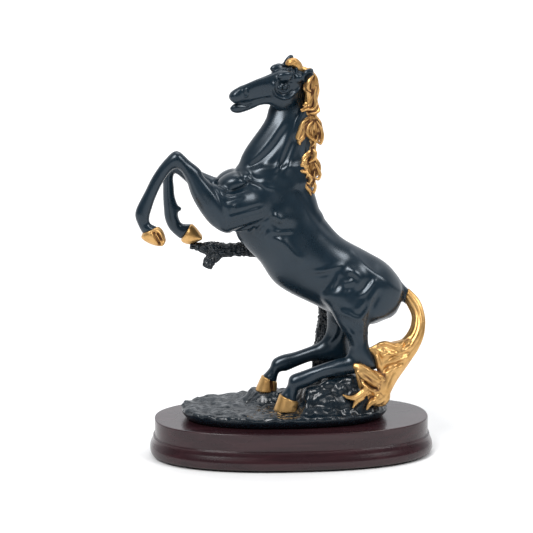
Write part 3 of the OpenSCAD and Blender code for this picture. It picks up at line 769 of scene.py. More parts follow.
# the black locks under the gilded mane, cast with the neck
UNDER_LOCKS = [
    ([(10, 247, 2.2), (6.4, 241, 2), (3.8, 235, 1.9), (2.2, 229, 1.8), (1.7, 224, 1.5), (2.4, 219.5, 1.3),
      (3.3, 216, 0.6)], 6.4),
    ([(11, 245, 2.4), (8.6, 236, 2.6), (7.4, 229, 2.6), (6.8, 222, 2.4), (6.8, 215, 2.2),
      (5.4, 209, 1.5)], 5.6),
    ([(10, 236, 3), (10.6, 228, 3.4), (10.6, 220, 3.4), (10.4, 212, 3), (10, 205, 2.6), (10.4, 196, 2)],
     3.0),
    ([(7, 206, 2.2), (4, 201.5, 2), (3.2, 197, 1.8), (4.4, 193, 1.6), (7, 190, 1.5), (10, 187.3, 1.2),
      (12.9, 184.3, 0.6)], 8.6),
    ([(5.4, 204, 1.6), (1.4, 200, 1.2), (0.4, 197, 0.6)], 9.4),
    ([(8.4, 203, 2.6), (7.4, 195, 2.2), (9.4, 190.3, 1.8), (12.6, 187.2, 1.4), (14, 183.8, 0.6)], 6.0),
]
for side in (near, far):
    for n, (line, y) in enumerate(UNDER_LOCKS):
        lock(body, line, (side * (y - 2), side * y, side * (y - 1)), 1.0, (6 + n % 3, 0.7, 4.0))

# ---------------------------------------------------------------- head
# The head is modelled on its own in finer clay: x runs from the lips to the poll, z up from the
# line of the nose, y towards the far side. Then it is set on the neck, turned and rolled.


def calm(block, times=1):
    """Evens the field out: a cell becomes a quarter of each neighbour and half of itself, on each axis."""
    f = block.field
    for _ in range(times):
        for axis in range(3):
            a = np.moveaxis(f, axis, 0)
            a[1:-1] = 0.25 * a[:-2] + 0.5 * a[1:-1] + 0.25 * a[2:]


FACE = Clay((-5, -14, -29), (67, 14, 15), 0.31)
HEAD_AT = np.array([-44.0, -14.0, 254.0])
HEAD_AXES = np.array([(0.920, 0.243, 0.307), (-0.345, 0.872, 0.346), (-0.184, -0.424, 0.887)])
SKULL = [(0.2, 1.2, 0.2, -2.2, 0, 1.9), (2, 2.7, 2, -4.6, 0, 3.2), (4.5, 4.0, 4.5, -5.8, 0, 4.0),
         (8, 4.9, 8, -6.8, 0, 4.3),
         (12, 5.2, 12, -8.4, 0, 4.3), (16, 5.5, 16, -10.5, 0, 4.2), (22, 5.8, 22, -12.3, 0, 4.8),
         (28, 5.7, 28, -15.2, 0, 6.0),
         (34, 5.9, 34, -20, 0, 7.3), (40, 6.2, 40, -22, 0, 7.7), (46, 5.6, 46, -19, 0, 7.4),
         (52, 4.0, 52, -11, 0, 6.6),
         (57, 1, 57, -7, 0, 4.5)]
JAW = [(-0.9, -8.2, -0.7, -10.9, 0, 1.7), (1.4, -6.7, 1.8, -13.0, 0, 2.7), (4.5, -6.2, 4.5, -14.0, 0, 3.2),
       (9, -6, 9, -14.4, 0, 3.3), (14, -6, 14, -14.3, 0, 3.4), (20, -6, 20, -13.7, 0, 4.0),
       (26, -6, 26, -15.4, 0, 5.2),
       (32, -8, 32, -20, 0, 6.2)]

mass(FACE, SKULL, 2, 4)
mass(FACE, JAW, 0.8, 4)
for side in (near, far):
    egg(FACE, 39.3, 3.4 * side, -13.6, 10.8, 10.7, 5.3, 0, 2.0)        # cheek
    egg(FACE, 40.8, 6.0 * side, 5.0, 6.5, 3.1, 3.0, -12, 2.2)          # brow bone
    egg(FACE, 37.7, 10.3 * side, -3.9, 7.4, 6.8, 3.6, -20, 1.6, True)  # eye socket
    egg(FACE, 38.0, 6.0 * side, -3.0, 2.7, 2.5, 2.7, 0, 0.4)           # eyeball
    egg(FACE, 33.9, 6.8 * side, -2.0, 1.0, 0.9, 1.3, 0, 0.4)           # inner corner of the eye
    egg(FACE, 4.4, 1.5 * side, -1.0, 3.9, 3.8, 2.8, 30, 1.5)           # upper lip
    egg(FACE, 49.4, 5.4 * side, -1.2, 3.4, 3.2, 3.2, 0, 1.4)           # root of the ear
    egg(FACE, 10.6, 5.4 * side, 1.5, 0.9, 2.0, 1.5, -10, 0.7, True)    # nostril
    turns = np.linspace(0.4, 2 * math.pi + 0.4, 13)
    draw(FACE, [(10.5 + 1.9 * math.cos(t), 1.6 + 2.6 * math.sin(t)) for t in turns], -0.55, 0.5, side, 2, 1)
    # the two lids
    draw(FACE, [(38.0 + 3.1 * math.cos(t), -3.0 + 2.8 * math.sin(t)) for t in turns], -0.9, 0.55, side, 2,
         3)
    draw(FACE, [(38.0 + 2.1 * math.cos(t), -3.0 + 1.9 * math.sin(t)) for t in turns], 0.7, 0.4, side, 2, 3)
    draw(FACE, [(3.4, -6.2), (7.5, -7.9), (10.5, -9.3), (12.6, -10.3)], 1.0, 0.7, side, 1.5, 0)   # mouth
    draw(FACE, [(11.3, -8.9), (13.4, -9.7), (13.9, -11.5)], -0.35, 0.7, side, 1, 0)
    draw(FACE, [(12.5, -4.2), (21.5, -5.2), (29, -5.6)], -0.5, 1.0, side, 5, 1)     # facial crest
    draw(FACE, [(12.5, -6.2), (21.5, -7.2), (28, -8.2)], 0.6, 1.0, side, 6, 1)
    draw(FACE, [(33.5, 3.0), (31, 1.4), (29.8, -2.6), (31.3, -7.0), (35.4, -10.3), (39.5, -10.6),
                (43.5, -9.5),
                (47.5, -8.2), (51, -7.4)], -1.6, 0.9, side, 4, 1)                   # bony rim below the eye
    draw(FACE, [(31.9, -1.8), (32.8, -5.8), (36.4, -8.4), (40.6, -8.5), (44.8, -7)], 0.9, 0.8, side, 3, 1)
    # lower lid fold
    draw(FACE, [(33.4, -4.6), (35.8, -6.8), (39.2, -7.1), (42.6, -5.8)], -0.5, 0.5, side, 2, 1)
    draw(FACE, [(34.6, 0.4), (36.8, 1.8), (39.6, 1.6), (42.2, 0), (44.2, -1.8)], 0.8, 0.6, side, 1.5, 1)
    draw(FACE, [(33.6, 1.8), (36.4, 3.5), (39.6, 3.2), (42.4, 1.8), (45, 0.8)], -0.9, 0.7, side, 2, 3)
    draw(FACE, [(44.0, 6.0), (46.2, 3.0), (47.2, 0.6)], 0.7, 0.7, side, 1.5, 2)
    draw(FACE, [(46.2, 6.6), (48.2, 4.0), (49.4, 3.0)], 0.6, 0.7, side, 1.5, 2)
    draw(FACE, [(42.5, 8.4), (44.3, 6.5), (45.2, 4.6)], 0.5, 0.6, side, 1.5, 0)
egg(FACE, -3.2, 0, -6.6, 4.6, 1.0, 6, 12, 0.6, True)                   # between the lips
egg(FACE, 55.6, 7.4 * near, -0.8, 5.0, 4.4, 3.0, 50, 1.0)             # near ear, laid back
egg(FACE, 58.2, 7.6 * near, 1.8, 2.4, 1.8, 1.6, 50, 1.2)
egg(FACE, 55.2, 10.6 * near, -1.0, 3.9, 3.0, 2.9, 50, 0.6, True)
for x, y, z in ((47.4, 0.3, 6.2), (43.8, -0.5, 5.9), (49.4, -3.6, 3.8), (50.8, 1.5, 5.2), (46, -3.4, 5.0)):
    egg(FACE, x, y, z, 2.6, 1.1, 1.7, 30 * y, 0.6)                     # black tufts under the forelock
egg(FACE, 48.4, 6.2 * far, 6.8, 5.2, 2.9, 2.4, 42, 1.2)                # far ear, pricked
egg(FACE, 50.3, 6.3 * far, 8.9, 2.4, 1.6, 1.4, 46, 1.0)
egg(FACE, 47.6, 8.6 * far, 7.3, 3.6, 1.8, 2.4, 42, 0.6, True)
calm(FACE)

# ---------------------------------------------------------------- black castings
# Torso, neck, four legs, dock and head were cast one by one, pinned and chased together, then
# sprayed with glossy black lacquer. The body's skin is cut by a plane for each limb: on the
# forelegs a little below the joints of the CAD, on the others near them.


def read(block, p):
    """Field at points, trilinear between the eight cells round each."""
    f = block.field
    q = (p - block.low) / block.cell
    i = np.clip(q.astype(np.int32), 0, np.array(f.shape) - 2)
    t = np.clip(q - i, 0, 1).astype(np.float32)
    line = (i[:, 0] * f.shape[1] + i[:, 1]) * f.shape[2] + i[:, 2]
    flat = f.ravel()
    out = np.zeros(len(p), np.float32)
    for dx in (0, 1):
        for dy in (0, 1):
            for dz in (0, 1):
                share = (t[:, 0] if dx else 1 - t[:, 0]) * (t[:, 1] if dy else 1 - t[:, 1]) \
                    * (t[:, 2] if dz else 1 - t[:, 2])
                out += share * flat[line + (dx * f.shape[1] + dy) * f.shape[2] + dz]
    return out


def slope(block, p):
    """Unit outward normals at points: differences of the field one cell apart along each axis."""
    g = np.stack([read(block, p + step) - read(block, p - step) for step in np.eye(3) * block.cell * 0.75], 1)
    return g / np.maximum(np.linalg.norm(g, axis=1, keepdims=True), 1e-9)


def skin(block):
    """Points and triangles of the field's zero surface: one point in each cell it crosses, at the mean
    of its crossings of the cell's edges, and a pair of triangles across each edge it crosses."""
    f = block.field
    inside = f < 0
    nx, ny, nz = np.array(f.shape) - 1
    count = np.zeros((nx, ny, nz), np.int8)
    for dx in (0, 1):
        for dy in (0, 1):
            for dz in (0, 1):
                count += inside[dx:nx + dx, dy:ny + dy, dz:nz + dz]
    cells = np.argwhere((count > 0) & (count < 8))
    number = np.full((nx, ny, nz), -1, np.int32)
    number[tuple(cells.T)] = np.arange(len(cells))
    total, hits = np.zeros((len(cells), 3)), np.zeros((len(cells), 1))
    for axis in range(3):
        e, g = [k for k in range(3) if k != axis]
        for de in (0, 1):
            for dg in (0, 1):
                a = cells.copy()
                a[:, e] += de
                a[:, g] += dg
                b = a.copy()
                b[:, axis] += 1
                fa, fb = f[tuple(a.T)], f[tuple(b.T)]
                hit = (fa < 0) != (fb < 0)
                t = np.where(hit, fa / np.where(hit, fa - fb, 1), 0)
                spot = a.astype(float)
                spot[:, axis] += t
                total += spot * hit[:, None]
                hits += hit[:, None]
    points = block.low + block.cell * total / hits
    quads = []
    for axis in range(3):
        e, g = (axis + 1) % 3, (axis + 2) % 3
        lower = np.take(inside, np.arange(f.shape[axis] - 1), axis)
        upper = np.take(inside, np.arange(1, f.shape[axis]), axis)
        edges = np.argwhere(lower != upper)
        within = (edges[:, e] < f.shape[e] - 1) & (edges[:, g] < f.shape[g] - 1)
        edges = edges[(edges[:, e] > 0) & (edges[:, g] > 0) & within]
        start_in = lower[tuple(edges.T)]
        corners = []
        for de, dg in ((-1, -1), (0, -1), (0, 0), (-1, 0)):
            c = edges.copy()
            c[:, e] += de
            c[:, g] += dg
            corners.append(number[tuple(c.T)])
        quad = np.stack(corners, 1)
        quad[~start_in] = quad[~start_in][:, ::-1]
        quads.append(quad)
    quads = np.concatenate(quads)
    for _ in range(2):
        n = slope(block, points)
        points = points - n * np.clip(read(block, points), -0.4 * block.cell, 0.4 * block.cell)[:, None]
    a, b, c, d = (points[quads[:, k]] for k in range(4))
    short = np.linalg.norm(a - c, axis=1) <= np.linalg.norm(b - d, axis=1)
    first = np.where(short[:, None], quads[:, [0, 1, 2]], quads[:, [0, 1, 3]])
    second = np.where(short[:, None], quads[:, [0, 2, 3]], quads[:, [1, 2, 3]])
    return points, np.concatenate([first, second])


def saw(points, tris, at, away, among):
    """Cuts triangles by the plane through `at`. Returns the points, the triangles on the body's side,
    those past the plane, and the cut's cap triangles for the body's side. `among` marks those to cut."""
    points, away = points.copy(), np.array(away, float) / np.linalg.norm(away)
    kept_out, work = tris[~among], tris[among]
    d = (points - at) @ away
    past = d[work] > 0
    n = past.sum(1)
    body, limb = [work[n == 0]], [work[n == 3]]
    edges_a, edges_b = [], []
    single = []
    for number, flag in ((1, True), (2, False)):
        t, s = work[n == number], past[n == number]
        lone = np.argmax(s == flag, 1)
        t = np.stack([t[np.arange(len(t)), (lone + k) % 3] for k in range(3)], 1)
        single.append(t)
        edges_a.append(np.concatenate([t[:, 0], t[:, 0]]))
        edges_b.append(np.concatenate([t[:, 1], t[:, 2]]))
    a, b = np.concatenate(edges_a), np.concatenate(edges_b)
    low, high = np.minimum(a, b), np.maximum(a, b)
    keys, inverse = np.unique(low.astype(np.int64) * len(points) + high, return_inverse=True)
    low, high = keys // len(points), keys % len(points)
    share = (d[low] / (d[low] - d[high]))[:, None]
    fresh = points[low] + (points[high] - points[low]) * share
    ids = inverse.ravel() + len(points)
    points = np.concatenate([points, fresh])
    rim = []
    start_at = 0
    for t, lone_past in zip(single, (True, False)):
        m = len(t)
        ab, ac = ids[start_at:start_at + m], ids[start_at + m:start_at + 2 * m]
        start_at += 2 * m
        tip = np.stack([t[:, 0], ab, ac], 1)
        rest = np.concatenate([np.stack([ab, t[:, 1], t[:, 2]], 1), np.stack([ab, t[:, 2], ac], 1)])
        (limb if lone_past else body).append(tip)
        (body if lone_past else limb).append(rest)
        rim.append(np.stack([ab, ac], 1) if lone_past else np.stack([ac, ab], 1))
    rim = np.concatenate(rim)
    middle = points[np.unique(rim)].mean(0)
    points = np.concatenate([points, middle[None]])
    cap = np.column_stack([rim, np.full(len(rim), len(points) - 1)])
    return points, np.concatenate([kept_out] + body), np.concatenate(limb), cap


def cast(name, block, points, tris, caps, material, node, deep=1.3, place=None):
    """One piece from its skin triangles and its caps: skin normals from the field, caps flat.

    Its mark "hollow" is how much of a short step off the skin, `deep` mm long, is lost to walls near by.
    """
    every = np.concatenate([tris] + caps)
    used, local = np.unique(every, return_inverse=True)
    local = local.reshape(-1, 3)
    p = points[used]
    n = slope(block, p)
    corners = n[local]
    flat = np.cross(p[local[:, 1]] - p[local[:, 0]], p[local[:, 2]] - p[local[:, 0]])
    flat /= np.maximum(np.linalg.norm(flat, axis=1, keepdims=True), 1e-12)
    corners[len(tris):] = flat[len(tris):, None]
    # how shut in each point is; the gilding browns with it as patina and painted shade, the lacquer only
    # grows rougher
    shut = np.clip(1 - read(block, p + n * deep) / deep, 0, 1)
    if place:
        p, corners = place[0] + p @ place[1], corners @ place[1]
    piece = put(name, p, local, material, normals=corners, marks={"hollow": shut})
    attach(piece, "root")
    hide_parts(node)
    return piece


coat = start("black_lacquer")
haze = coat.node("ShaderNodeTexNoise", None, {0: coat, "Scale": 0.07, "Detail": 4.0, "Roughness": 0.6})
orange_peel = coat.node("ShaderNodeTexNoise", None, {0: coat, "Scale": 0.5, "Detail": 2.0})
shut_in = coat.node("ShaderNodeAttribute", {"attribute_name": "hollow"}, out=2)
dimples = coat.node("ShaderNodeBump", None, {"Strength": 0.03, "Distance": 0.0005, "Height": orange_peel})
black = haze.between(0.35, 0.7).mix((0.0035, 0.0115, 0.0195, 1), (0.005, 0.0145, 0.0245, 1))
lacquer = finish("black_lacquer", black, haze * 0.08 + shut_in * 0.12 + 0.24, normal=dimples, specular=0.55)
lacquer.node_tree.nodes["Principled BSDF"].inputs["Specular Tint"].default_value = (0.82, 0.91, 1.0, 1)

calm(body)
points, tris = skin(body)
calm(body, 2)
CUTS = [("near_foreleg", (-58, 0, 198.5), (-0.736, 0, 0.677), (-120, -50, -40, 0)),
        ("far_foreleg", (-64.5, 0, 0), (-1, 0, 0), (-120, -55, 0, 40)),
        ("near_hind_leg", (33.5, 0, 91), (-0.08, 0, -1), (-20, 62, -40, 0)),
        ("far_hind_leg", (26.5, 0, 96), (-0.456, 0, -0.89), (-30, 55, 0, 40)),
        ("tail_dock", (78.6, 0, 0), (1, 0, 0), (70, 90, -12, 12)),
        ("neck", (10, 0, 206), (-0.062, 0, 0.998), (-60, 30, -30, 30))]
body_caps = []
for name, at, away, (west, east, front, back) in CUTS:
    middle = points[tris].mean(1)
    among = (middle[:, 0] > west) & (middle[:, 0] < east) & (middle[:, 1] > front) & (middle[:, 1] < back)
    points, tris, limb, cap = saw(points, tris, np.array(at, float), away, among)
    cast("black_" + name, body, points, limb, [cap[:, ::-1]], lacquer, name)
    body_caps.append(cap)
cast("black_torso", body, points, tris, body_caps, lacquer, "torso")

points, tris = skin(FACE)
calm(FACE)
cast("black_head", FACE, points, tris, [], lacquer, "head", 0.8, (HEAD_AT, HEAD_AXES))

# ---------------------------------------------------------------- mane and forelock
# Locks of wavy hair, each a soft strap with strands along it, fall from the crest down both sides
# of the neck. Cast on their own, gilded, and rubbed back: brown patina stays in the hollows, darkened
# there as painted shade, and lies in random worn patches.
gilt = start("rubbed_gilding")
buried = gilt.node("ShaderNodeAttribute", {"attribute_name": "hollow"}, out=2)
wear = gilt.node("ShaderNodeTexNoise", None, {0: gilt, "Scale": 0.11, "Detail": 5.0, "Roughness": 0.65})
brushed = gilt.node("ShaderNodeTexNoise", None, {0: gilt, "Scale": 1.6, "Detail": 3.0})
# brown where hollow is high, patina together with painted shade, and in random wear patches
shade_and_wear = (buried * 1.6 + wear * 0.9 - 0.34).between(0.1, 0.9)
leaf = wear.between(0.3, 0.7).mix((0.50, 0.28, 0.095, 1), (0.70, 0.43, 0.17, 1))
tarnish_and_shade = shade_and_wear.mix(leaf, (0.12, 0.048, 0.018, 1))
grainy = gilt.node("ShaderNodeBump", None, {"Strength": 0.15, "Distance": 0.0003, "Height": brushed})
gilding_with_shade = finish("rubbed_gilding", tarnish_and_shade, shade_and_wear * 0.2 + brushed * 0.12 + 0.3, shade_and_wear * -0.4 + 0.88,
                 grainy)

HAIR = Clay((-9, -20, 182), (25, 20, 284), 0.37)
FRONT_ROLL = [(-4.6, 275.2, 1.3), (-2.4, 276.8, 2.5), (0.8, 276.8, 3.1), (3.6, 274.6, 2.9),
              (5.8, 272.4, 2.1),
              (8.5, 271.6, 1.8), (11.5, 270, 1.6)]
GILT_LOCKS = [
    [(11, 272, 1.8), (12.4, 268, 2.6), (12.8, 263.5, 3.0), (13.4, 259, 4.2), (13.4, 254, 3.8),
     (12.7, 249.5, 3.6),
     (12, 245.5, 3.8), (12.7, 241, 2.6)],
    [(12.6, 265, 1.6), (10.0, 262.2, 1.9), (9.2, 259.2, 1.9), (10.8, 256, 1.6), (11.2, 251, 1.4)],
    [(13.5, 269.5, 1.0), (15.6, 266.3, 1.2), (16.2, 262, 1.5), (16.7, 257, 1.4), (15.5, 252, 1.2)],
    [(13.4, 251.5, 2.0), (10.2, 248.9, 1.5), (6.8, 247.1, 0.5)],
    [(13, 247.2, 2.0), (8.6, 245.2, 1.3), (4.9, 244.6, 0.4)],
    [(12.8, 245, 1.8), (10.6, 242.6, 1.7), (10.4, 240.6, 0.8)],
    [(15.2, 250, 1.2), (16.4, 247.6, 1.4), (16.3, 244.2, 1.5), (14.6, 240.2, 1.4)],
    [(13.2, 241.5, 1.0), (9.4, 237.2, 1.8), (6.4, 233.0, 1.9), (5.0, 228.9, 1.7), (3.9, 225.4, 0.7)],
    [(13.6, 240.5, 1.2), (11.0, 235.6, 1.8), (8.9, 231.4, 2.0), (8.2, 227.8, 1.5), (6.1, 224.7, 1.3),
     (4.2, 222.8, 1.3),
     (4.7, 220.4, 0.5)],
    [(14, 241, 1.2), (13, 235.6, 2.0), (12.6, 230.5, 2.4), (13.4, 226, 2.1), (12, 222.6, 1.6),
     (10.6, 221.3, 0.6)],
    [(14.4, 241, 1.2), (16.1, 236, 2.0), (17.2, 231, 2.3), (18.4, 227.4, 2.0), (18, 224.3, 1.3),
     (16.1, 222, 0.5)],
    [(15.2, 240, 1.0), (18, 235.8, 1.4), (19.2, 231.6, 1.4), (20, 228, 1.2), (19.2, 225.2, 0.6)],
    [(14.2, 225, 1.8), (13.6, 220.5, 2.3), (13.6, 216.5, 2.3), (14.2, 212.5, 2.0), (14.6, 209, 1.6)],
    [(12.4, 219, 1.0), (12.2, 215.8, 1.4), (9.8, 212.8, 1.8), (7.8, 209.6, 1.8), (7.2, 206.6, 1.5)],
    [(9.5, 206, 1.6), (5.4, 206.0, 1.4), (1.9, 205.3, 1.2), (0.5, 203.4, 1.0), (1.1, 201.0, 0.4)],
    [(8.8, 204, 1.2), (5.8, 203.2, 1.0), (3.6, 203.6, 0.6)],
    [(14.2, 211, 1.6), (16.2, 207, 2.4), (16.9, 202.8, 2.5), (15.8, 199.4, 1.7), (13.6, 197.8, 1.0)],
    [(8.6, 209.5, 1.6), (8.9, 204.8, 2.2), (10, 200.6, 2.3), (9.6, 196.6, 2.0), (10.9, 193.0, 1.7),
     (11.2, 189.8, 1.3),
     (12.2, 185.6, 0.5)],
    [(11.2, 210.5, 1.5), (12.1, 205.6, 2.1), (13, 201, 2.2), (14.3, 196.8, 1.8), (13.8, 193, 1.6),
     (12.9, 190.2, 1.2)],
    [(14.8, 203.2, 1.1), (10.8, 202.2, 1.3), (7.9, 200.2, 1.3), (7.2, 197.4, 1.2), (8.7, 195.3, 1.1),
     (11.4, 195.9, 1.1),
     (13.6, 197.2, 0.9)],
]
CORE = [(10, 270, 2.0), (12.2, 262, 3.2), (12.3, 250, 3.4), (12.6, 243, 3.2), (12.8, 235, 4.2),
        (13, 226, 4.2), (13.6, 219, 3.2),
        (13, 214, 3.0), (11.6, 208, 4.0), (12, 202, 4.8), (12, 197, 4.4), (11.8, 191, 3.2),
        (12.3, 187, 1.4)]
lock(HAIR, CORE, (-1, 0, 0, 0), 1.0, (11, 0.9, 9.0), 1.15)
for side in (near, far):
    for n, line in enumerate(GILT_LOCKS):
        drape = [side * (3.2 + 3.4 * float(ramp((13.5 - x) / 9)) + 0.8 * (n % 3)) for x, z, w in line]
        line = [(x, z, w * 1.12) for x, z, w in line]
        lock(HAIR, line, drape, 0.35, (7 + n % 3, 0.95, 5.0 + n % 4))
CURLS = [[(13.9, 268.2), (10.7, 264.1), (9.8, 259.6), (12.5, 256.9)],
         [(16.1, 260.5), (14.8, 255.1), (15.7, 249.6), (13.9, 245.1), (9.8, 245.1), (5.3, 243.3)],
         [(17, 248.7), (17.5, 244.2), (14.3, 242.4), (10.7, 242.4)],
         [(10.7, 238.3), (7.1, 236.1), (5.3, 231.5), (3, 225.2), (4.8, 224.3), (7.1, 227.9), (7.5, 233.4)],
         [(13.9, 237), (10.7, 233.4), (9.8, 228.8), (12.1, 225.2), (15.2, 222.5), (12.5, 218.9)],
         [(16.1, 237), (19.4, 231.5), (20.2, 226.1), (18.6, 221.4), (16.6, 223), (17.4, 227.9)],
         [(13.4, 218), (15.2, 215.3), (14.3, 210.7), (10.7, 208)],
         [(-0.6, 201.7), (1.7, 203.5), (6.2, 202.1), (9.8, 200.8), (8.9, 197.2)],
         [(14.3, 208.9), (17, 204.4), (18.6, 199.9), (17.2, 196.7), (14.8, 198.1), (15.2, 202.6)],
         [(10.7, 206.2), (9.8, 201.7), (12.5, 197.2), (10.7, 193.5), (8, 195.4)],
         [(6.2, 197.2), (8.9, 191.7), (11.6, 188.1), (12.5, 185)],
         [(14.3, 196.3), (15.4, 191.7), (13.9, 187.2), (12.1, 189.9)]]
for side in (near, far):
    for n, line in enumerate(CURLS):
        wide = np.sin(np.linspace(0.35, 2.85, len(line))) * (1.5 - 0.15 * (n % 3))
        lock(HAIR, [(x, z, w) for (x, z), w in zip(line, wide)],
             (side * 7.6, side * (8.8 + 0.3 * (n % 3)), side * 8.2), 0.3,
             (4, 0.35, 3.0), 0.95)
calm(HAIR)

forelock_clay = Clay((-9, -12, 266), (16, 6, 284), 0.33)
lock(forelock_clay, FRONT_ROLL, (-4.5, -4, -3.5, -3, -2.4), 0.6, (7, 0.5, 5.0), 1.15)
lock(forelock_clay, [(-3.6, 275.2, 0.9), (-1.4, 276.2, 1.4), (1.2, 275.4, 1.4), (2.9, 273.2, 0.8)],
     (-6.6, -6.2, -5.4), 0.5)
calm(forelock_clay)

points, tris = skin(HAIR)
cast("gilt_mane", HAIR, points, tris, [], gilding_with_shade, "mane", 1.4)
points, tris = skin(forelock_clay)
cast("gilt_forelock", forelock_clay, points, tris, [], gilding_with_shade, "forelock", 0.9)

# ---------------------------------------------------------------- tail
# A thick fall of hair from the dock: it swings back and down, then splits into locks that wrap
# the near hock and lie on the rock. One gilded casting.
BRUSH = Clay((28, -40, 33), (97, 6, 122), 0.42)
FALL = [(82.6, 117.2, 79.3, 109.6, -1, 4.3), (88.3, 111.7, 81.6, 104.8, -3, 5.2),
        (91.8, 105.5, 83.6, 100.6, -5, 5.8),
        (93.7, 96, 84.0, 96.3, -8, 6.2), (92.4, 87, 82.0, 89.8, -11, 6.6), (88.8, 79, 76.5, 83.2, -13, 7),
        (84.2, 71, 69.5, 81.6, -15, 7), (79, 64, 63, 76, -17, 6.6), (72.8, 56, 60, 67, -19, 6.4),
        (68.2, 48.5, 58, 55, -21, 6.2),
        (65.4, 42, 55, 44, -22, 5.2), (64, 38.5, 56, 38, -23, 3.5)]
LOCKS = [
    ([(91.5, 96, 1.6), (89.8, 86, 2.0), (85.2, 77, 2.2), (80, 70, 2.0)], (-12, -16, -19)),
    ([(40.6, 68.3, 1.7), (44.8, 67.2, 2.9), (49.8, 63.6, 3.6), (54.4, 58.8, 4.0), (58.4, 52.6, 4.2),
      (61.6, 46, 3.4)],
     (-27.5, -28, -28, -27, -25, -23)),
    ([(43.4, 66.8, 1.1), (49.6, 65.6, 1.5), (55.2, 61.4, 1.7), (59.4, 57.2, 1.6)], (-29.5, -30, -29, -28)),
    ([(42.6, 64.6, 1.0), (48.4, 59.6, 1.7), (53.8, 54.9, 2.0), (58.8, 52.8, 1.7)], (-30, -30.5, -30, -29)),
    ([(56, 62.6, 1.2), (59.4, 59.8, 1.9), (62.2, 56.8, 1.6)], (-26, -27, -27)),
    ([(46.5, 60, 1.6), (48.8, 55, 2.4), (51.8, 50.2, 2.8), (56.6, 46.4, 2.6), (61, 43.6, 2.2)],
     (-28, -28.5, -27, -25)),
    ([(50.5, 53, 2.4), (46, 48.8, 2.5), (41, 46.2, 2.0), (36.4, 46.8, 1.3), (32.6, 48.8, 0.5)],
     (-29, -31, -32, -32)),
    ([(50.5, 49.5, 2.2), (46, 46.2, 2.3), (42.4, 43.6, 1.8), (39.6, 39.2, 0.6)], (-29, -31.5, -33)),
    ([(59.5, 47.8, 2.8), (55.6, 44, 2.5), (52, 41.6, 1.9), (49.4, 37.4, 0.6)], (-27, -30, -32)),
    ([(63.6, 46, 2.4), (58.4, 42.4, 2.2), (53.5, 41.2, 1.5)], (-25, -28, -29)),
    ([(65, 50, 2.0), (64.4, 44, 2.4), (62.4, 39.6, 1.2)], (-24, -25, -26)),
]
UPPER_SHEET = [(52, 78.9, 52.8, 77, -20.5, 1), (55.6, 81.2, 56.2, 72.4, -21.2, 2.2),
               (60.4, 83.4, 58.5, 62, -22, 3.2),
               (64, 83.8, 63.5, 63, -21.5, 3.6), (70, 82.2, 69.5, 67, -19.5, 4.2),
               (76, 82.6, 77, 68, -17, 4.8)]
LOWER_SHEET = [(41.5, 66, 57, 64, -25.5, 2), (42.5, 60, 61.5, 60, -25.5, 3.6), (44.2, 54, 65, 52, -25, 4.2),
               (45.5, 47, 64.6, 45, -24.5, 4.2), (47, 43.5, 63.4, 41, -25, 3)]
mass(BRUSH, FALL, 1, 5, 1, (8, 0.7, 3.0))
mass(BRUSH, UPPER_SHEET, 2, 5)
mass(BRUSH, LOWER_SHEET, 2, 5)
for line, y in LOCKS:
    lock(BRUSH, line, y, 0.7, (6, 0.45, 3.0), 0.8)
FOLDS = [([(57, 82), (60.5, 82.6), (63.7, 83), (68, 81.4), (72.5, 79.8), (76.5, 82.5), (81, 87.5)], -0.9,
          1.2),
         ([(57, 80), (60.5, 80.4), (64, 80.2), (68, 78.3), (73, 76.4), (77, 78.4), (82, 84)], 1.3, 1.4),
         ([(63.7, 74.3), (70.3, 76), (76.8, 77.6), (82, 80.5)], -0.8, 1.3),
         ([(65.3, 71.4), (73.5, 73.7), (81.7, 76)], 1.2, 1.2),
         ([(61.2, 67.4), (67, 70.2), (73.5, 71.4), (80.5, 71.2)], -1.0, 1.1),
         ([(61.5, 63.4), (68, 66.8), (77, 68.8)], 1.6, 1.3),
         ([(61.2, 61.2), (68.6, 63.7), (75, 66.6)], -0.7, 1.2),
         ([(53.5, 77.5), (57, 73.5), (58.5, 69), (59, 64)], -0.8, 1.3),
         ([(57, 77.4), (60, 72), (60.8, 67)], 1.1, 1.1),
         ([(45.6, 58.5), (50.5, 56), (55.4, 52.8), (59, 53.6)], 1.5, 1.4),
         ([(46, 56), (51, 53), (56, 50.2), (61, 50.8)], -0.9, 1.5),
         ([(42, 65.5), (48.5, 63.5), (55, 58.7), (58.8, 56.8)], -0.9, 1.3),
         ([(47.4, 54), (48.4, 48), (50.5, 44)], 1.0, 1.1), ([(53, 50), (54.8, 46), (60, 44)], 1.0, 1.1)]
for line, depth, width in FOLDS:
    draw(BRUSH, line, depth, width, near, 3, 12)
turns = np.linspace(0.4, 2 * math.pi + 0.4, 11)
draw(BRUSH, [(62 + 1.9 * math.cos(t), 76 + 1.9 * math.sin(t)) for t in turns], -0.9, 0.8, near, 2, 12)
calm(BRUSH)
points, tris = skin(BRUSH)
cast("gilt_tail", BRUSH, points, tris, [], gilding_with_shade, "tail", 1.0)
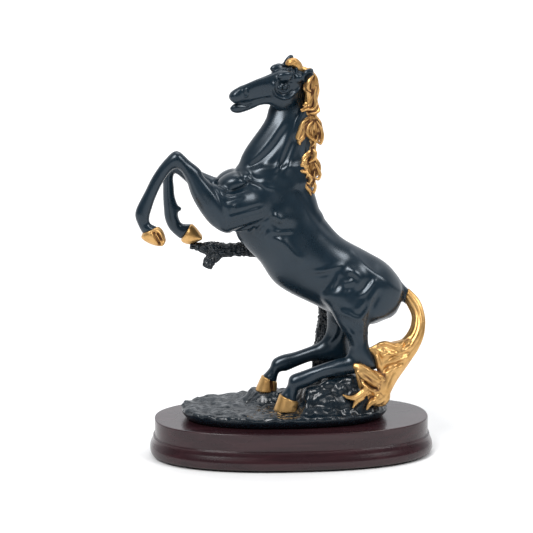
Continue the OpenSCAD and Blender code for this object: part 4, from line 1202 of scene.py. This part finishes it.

# ---------------------------------------------------------------- hooves
# Four small castings, pinned to the leg ends: a wall flared to the ground with a raised coronet,
# gilded and polished. The lifted near forefoot shows its heel and frog as grooves, brown with
# patina and painted shade in their hollows.
HOOVES = {
    "near_fore_hoof": [(-104.3, 162, -95.4, 166, -18, 5.7), (-105.3, 158.7, -93, 166, -18, 6.7),
                       (-101.6, 155.6, -91, 164.4, -18, 7.3), (-96.2, 153.3, -89.5, 161.6, -18, 7.4),
                       (-92.4, 152.8, -88.6, 158, -18, 6.8), (-91.4, 152.9, -88.5, 156.8, -18, 6.2)],
    "far_fore_hoof": [(-76.7, 151.8, -70.4, 162.2, 15, 5.7), (-76.3, 149.8, -69.0, 162.4, 15, 6.7),
                      (-71.4, 148, -66.9, 160.7, 15, 7.3), (-66.4, 149.5, -64.2, 157.4, 15, 7.2),
                      (-62.9, 151.2, -62.0, 154.2, 15, 6.2)],
    "near_hind_hoof": [(-10, 46.6, 2.3, 41.3, -18.5, 5.9), (-11, 44.4, 3.2, 39.8, -18.5, 6.7),
                       (-13.2, 38.6, 2.7, 37.6, -18.5, 7.6), (-14.2, 35.8, 3, 35.7, -18.5, 8),
                       (-13.9, 35, 2.8, 35, -18.5, 7.8)],
    "far_hind_hoof": [(-20, 52.4, -9.6, 47.7, 14.5, 5.9), (-21.3, 49.8, -9, 46.4, 14.5, 6.7),
                      (-23.6, 44.6, -9, 44, 14.5, 7.4), (-24.5, 42.2, -9.2, 42, 14.5, 7.9),
                      (-24.2, 41.5, -9.4, 41.5, 14.5, 7.7)],
}
for name, table in HOOVES.items():
    t = np.array(table)
    corners = np.concatenate([t[:, :2], t[:, 2:4]])
    foot = Clay((corners[:, 0].min() - 3, t[0, 4] - 11, corners[:, 1].min() - 3),
                (corners[:, 0].max() + 3, t[0, 4] + 11, corners[:, 1].max() + 3), 0.3)
    mass(foot, table, 0.5, 6)
    rim = t[0] + np.array([[0.0], [0.5]]) * (t[1] - t[0]) * 0.5
    rim[:, 5] += 0.35
    mass(foot, rim, 0.5, 3)
    if name == "near_fore_hoof":
        # heel and frog grooves, browned by the hollow mark as patina and painted shade
        for line in ([(-97.4, 164.4), (-95, 159.6), (-92.2, 154.2)],
                     [(-95.2, 163.6), (-92.6, 159.4), (-90.6, 156)]):
            draw(foot, line, 2.4, 0.9, near, 2)
    if name == "far_hind_hoof":
        # the far hind heel cut back, browned in its hollow as patina and painted shade
        egg(foot, -13.3, 8.2, 45.6, 6, 1.2, 3.4, 96, 0.5, True)
    calm(foot)
    points, tris = skin(foot)
    cast("gilt_" + name, foot, points, tris, [], gilding_with_shade, name, 1.4)
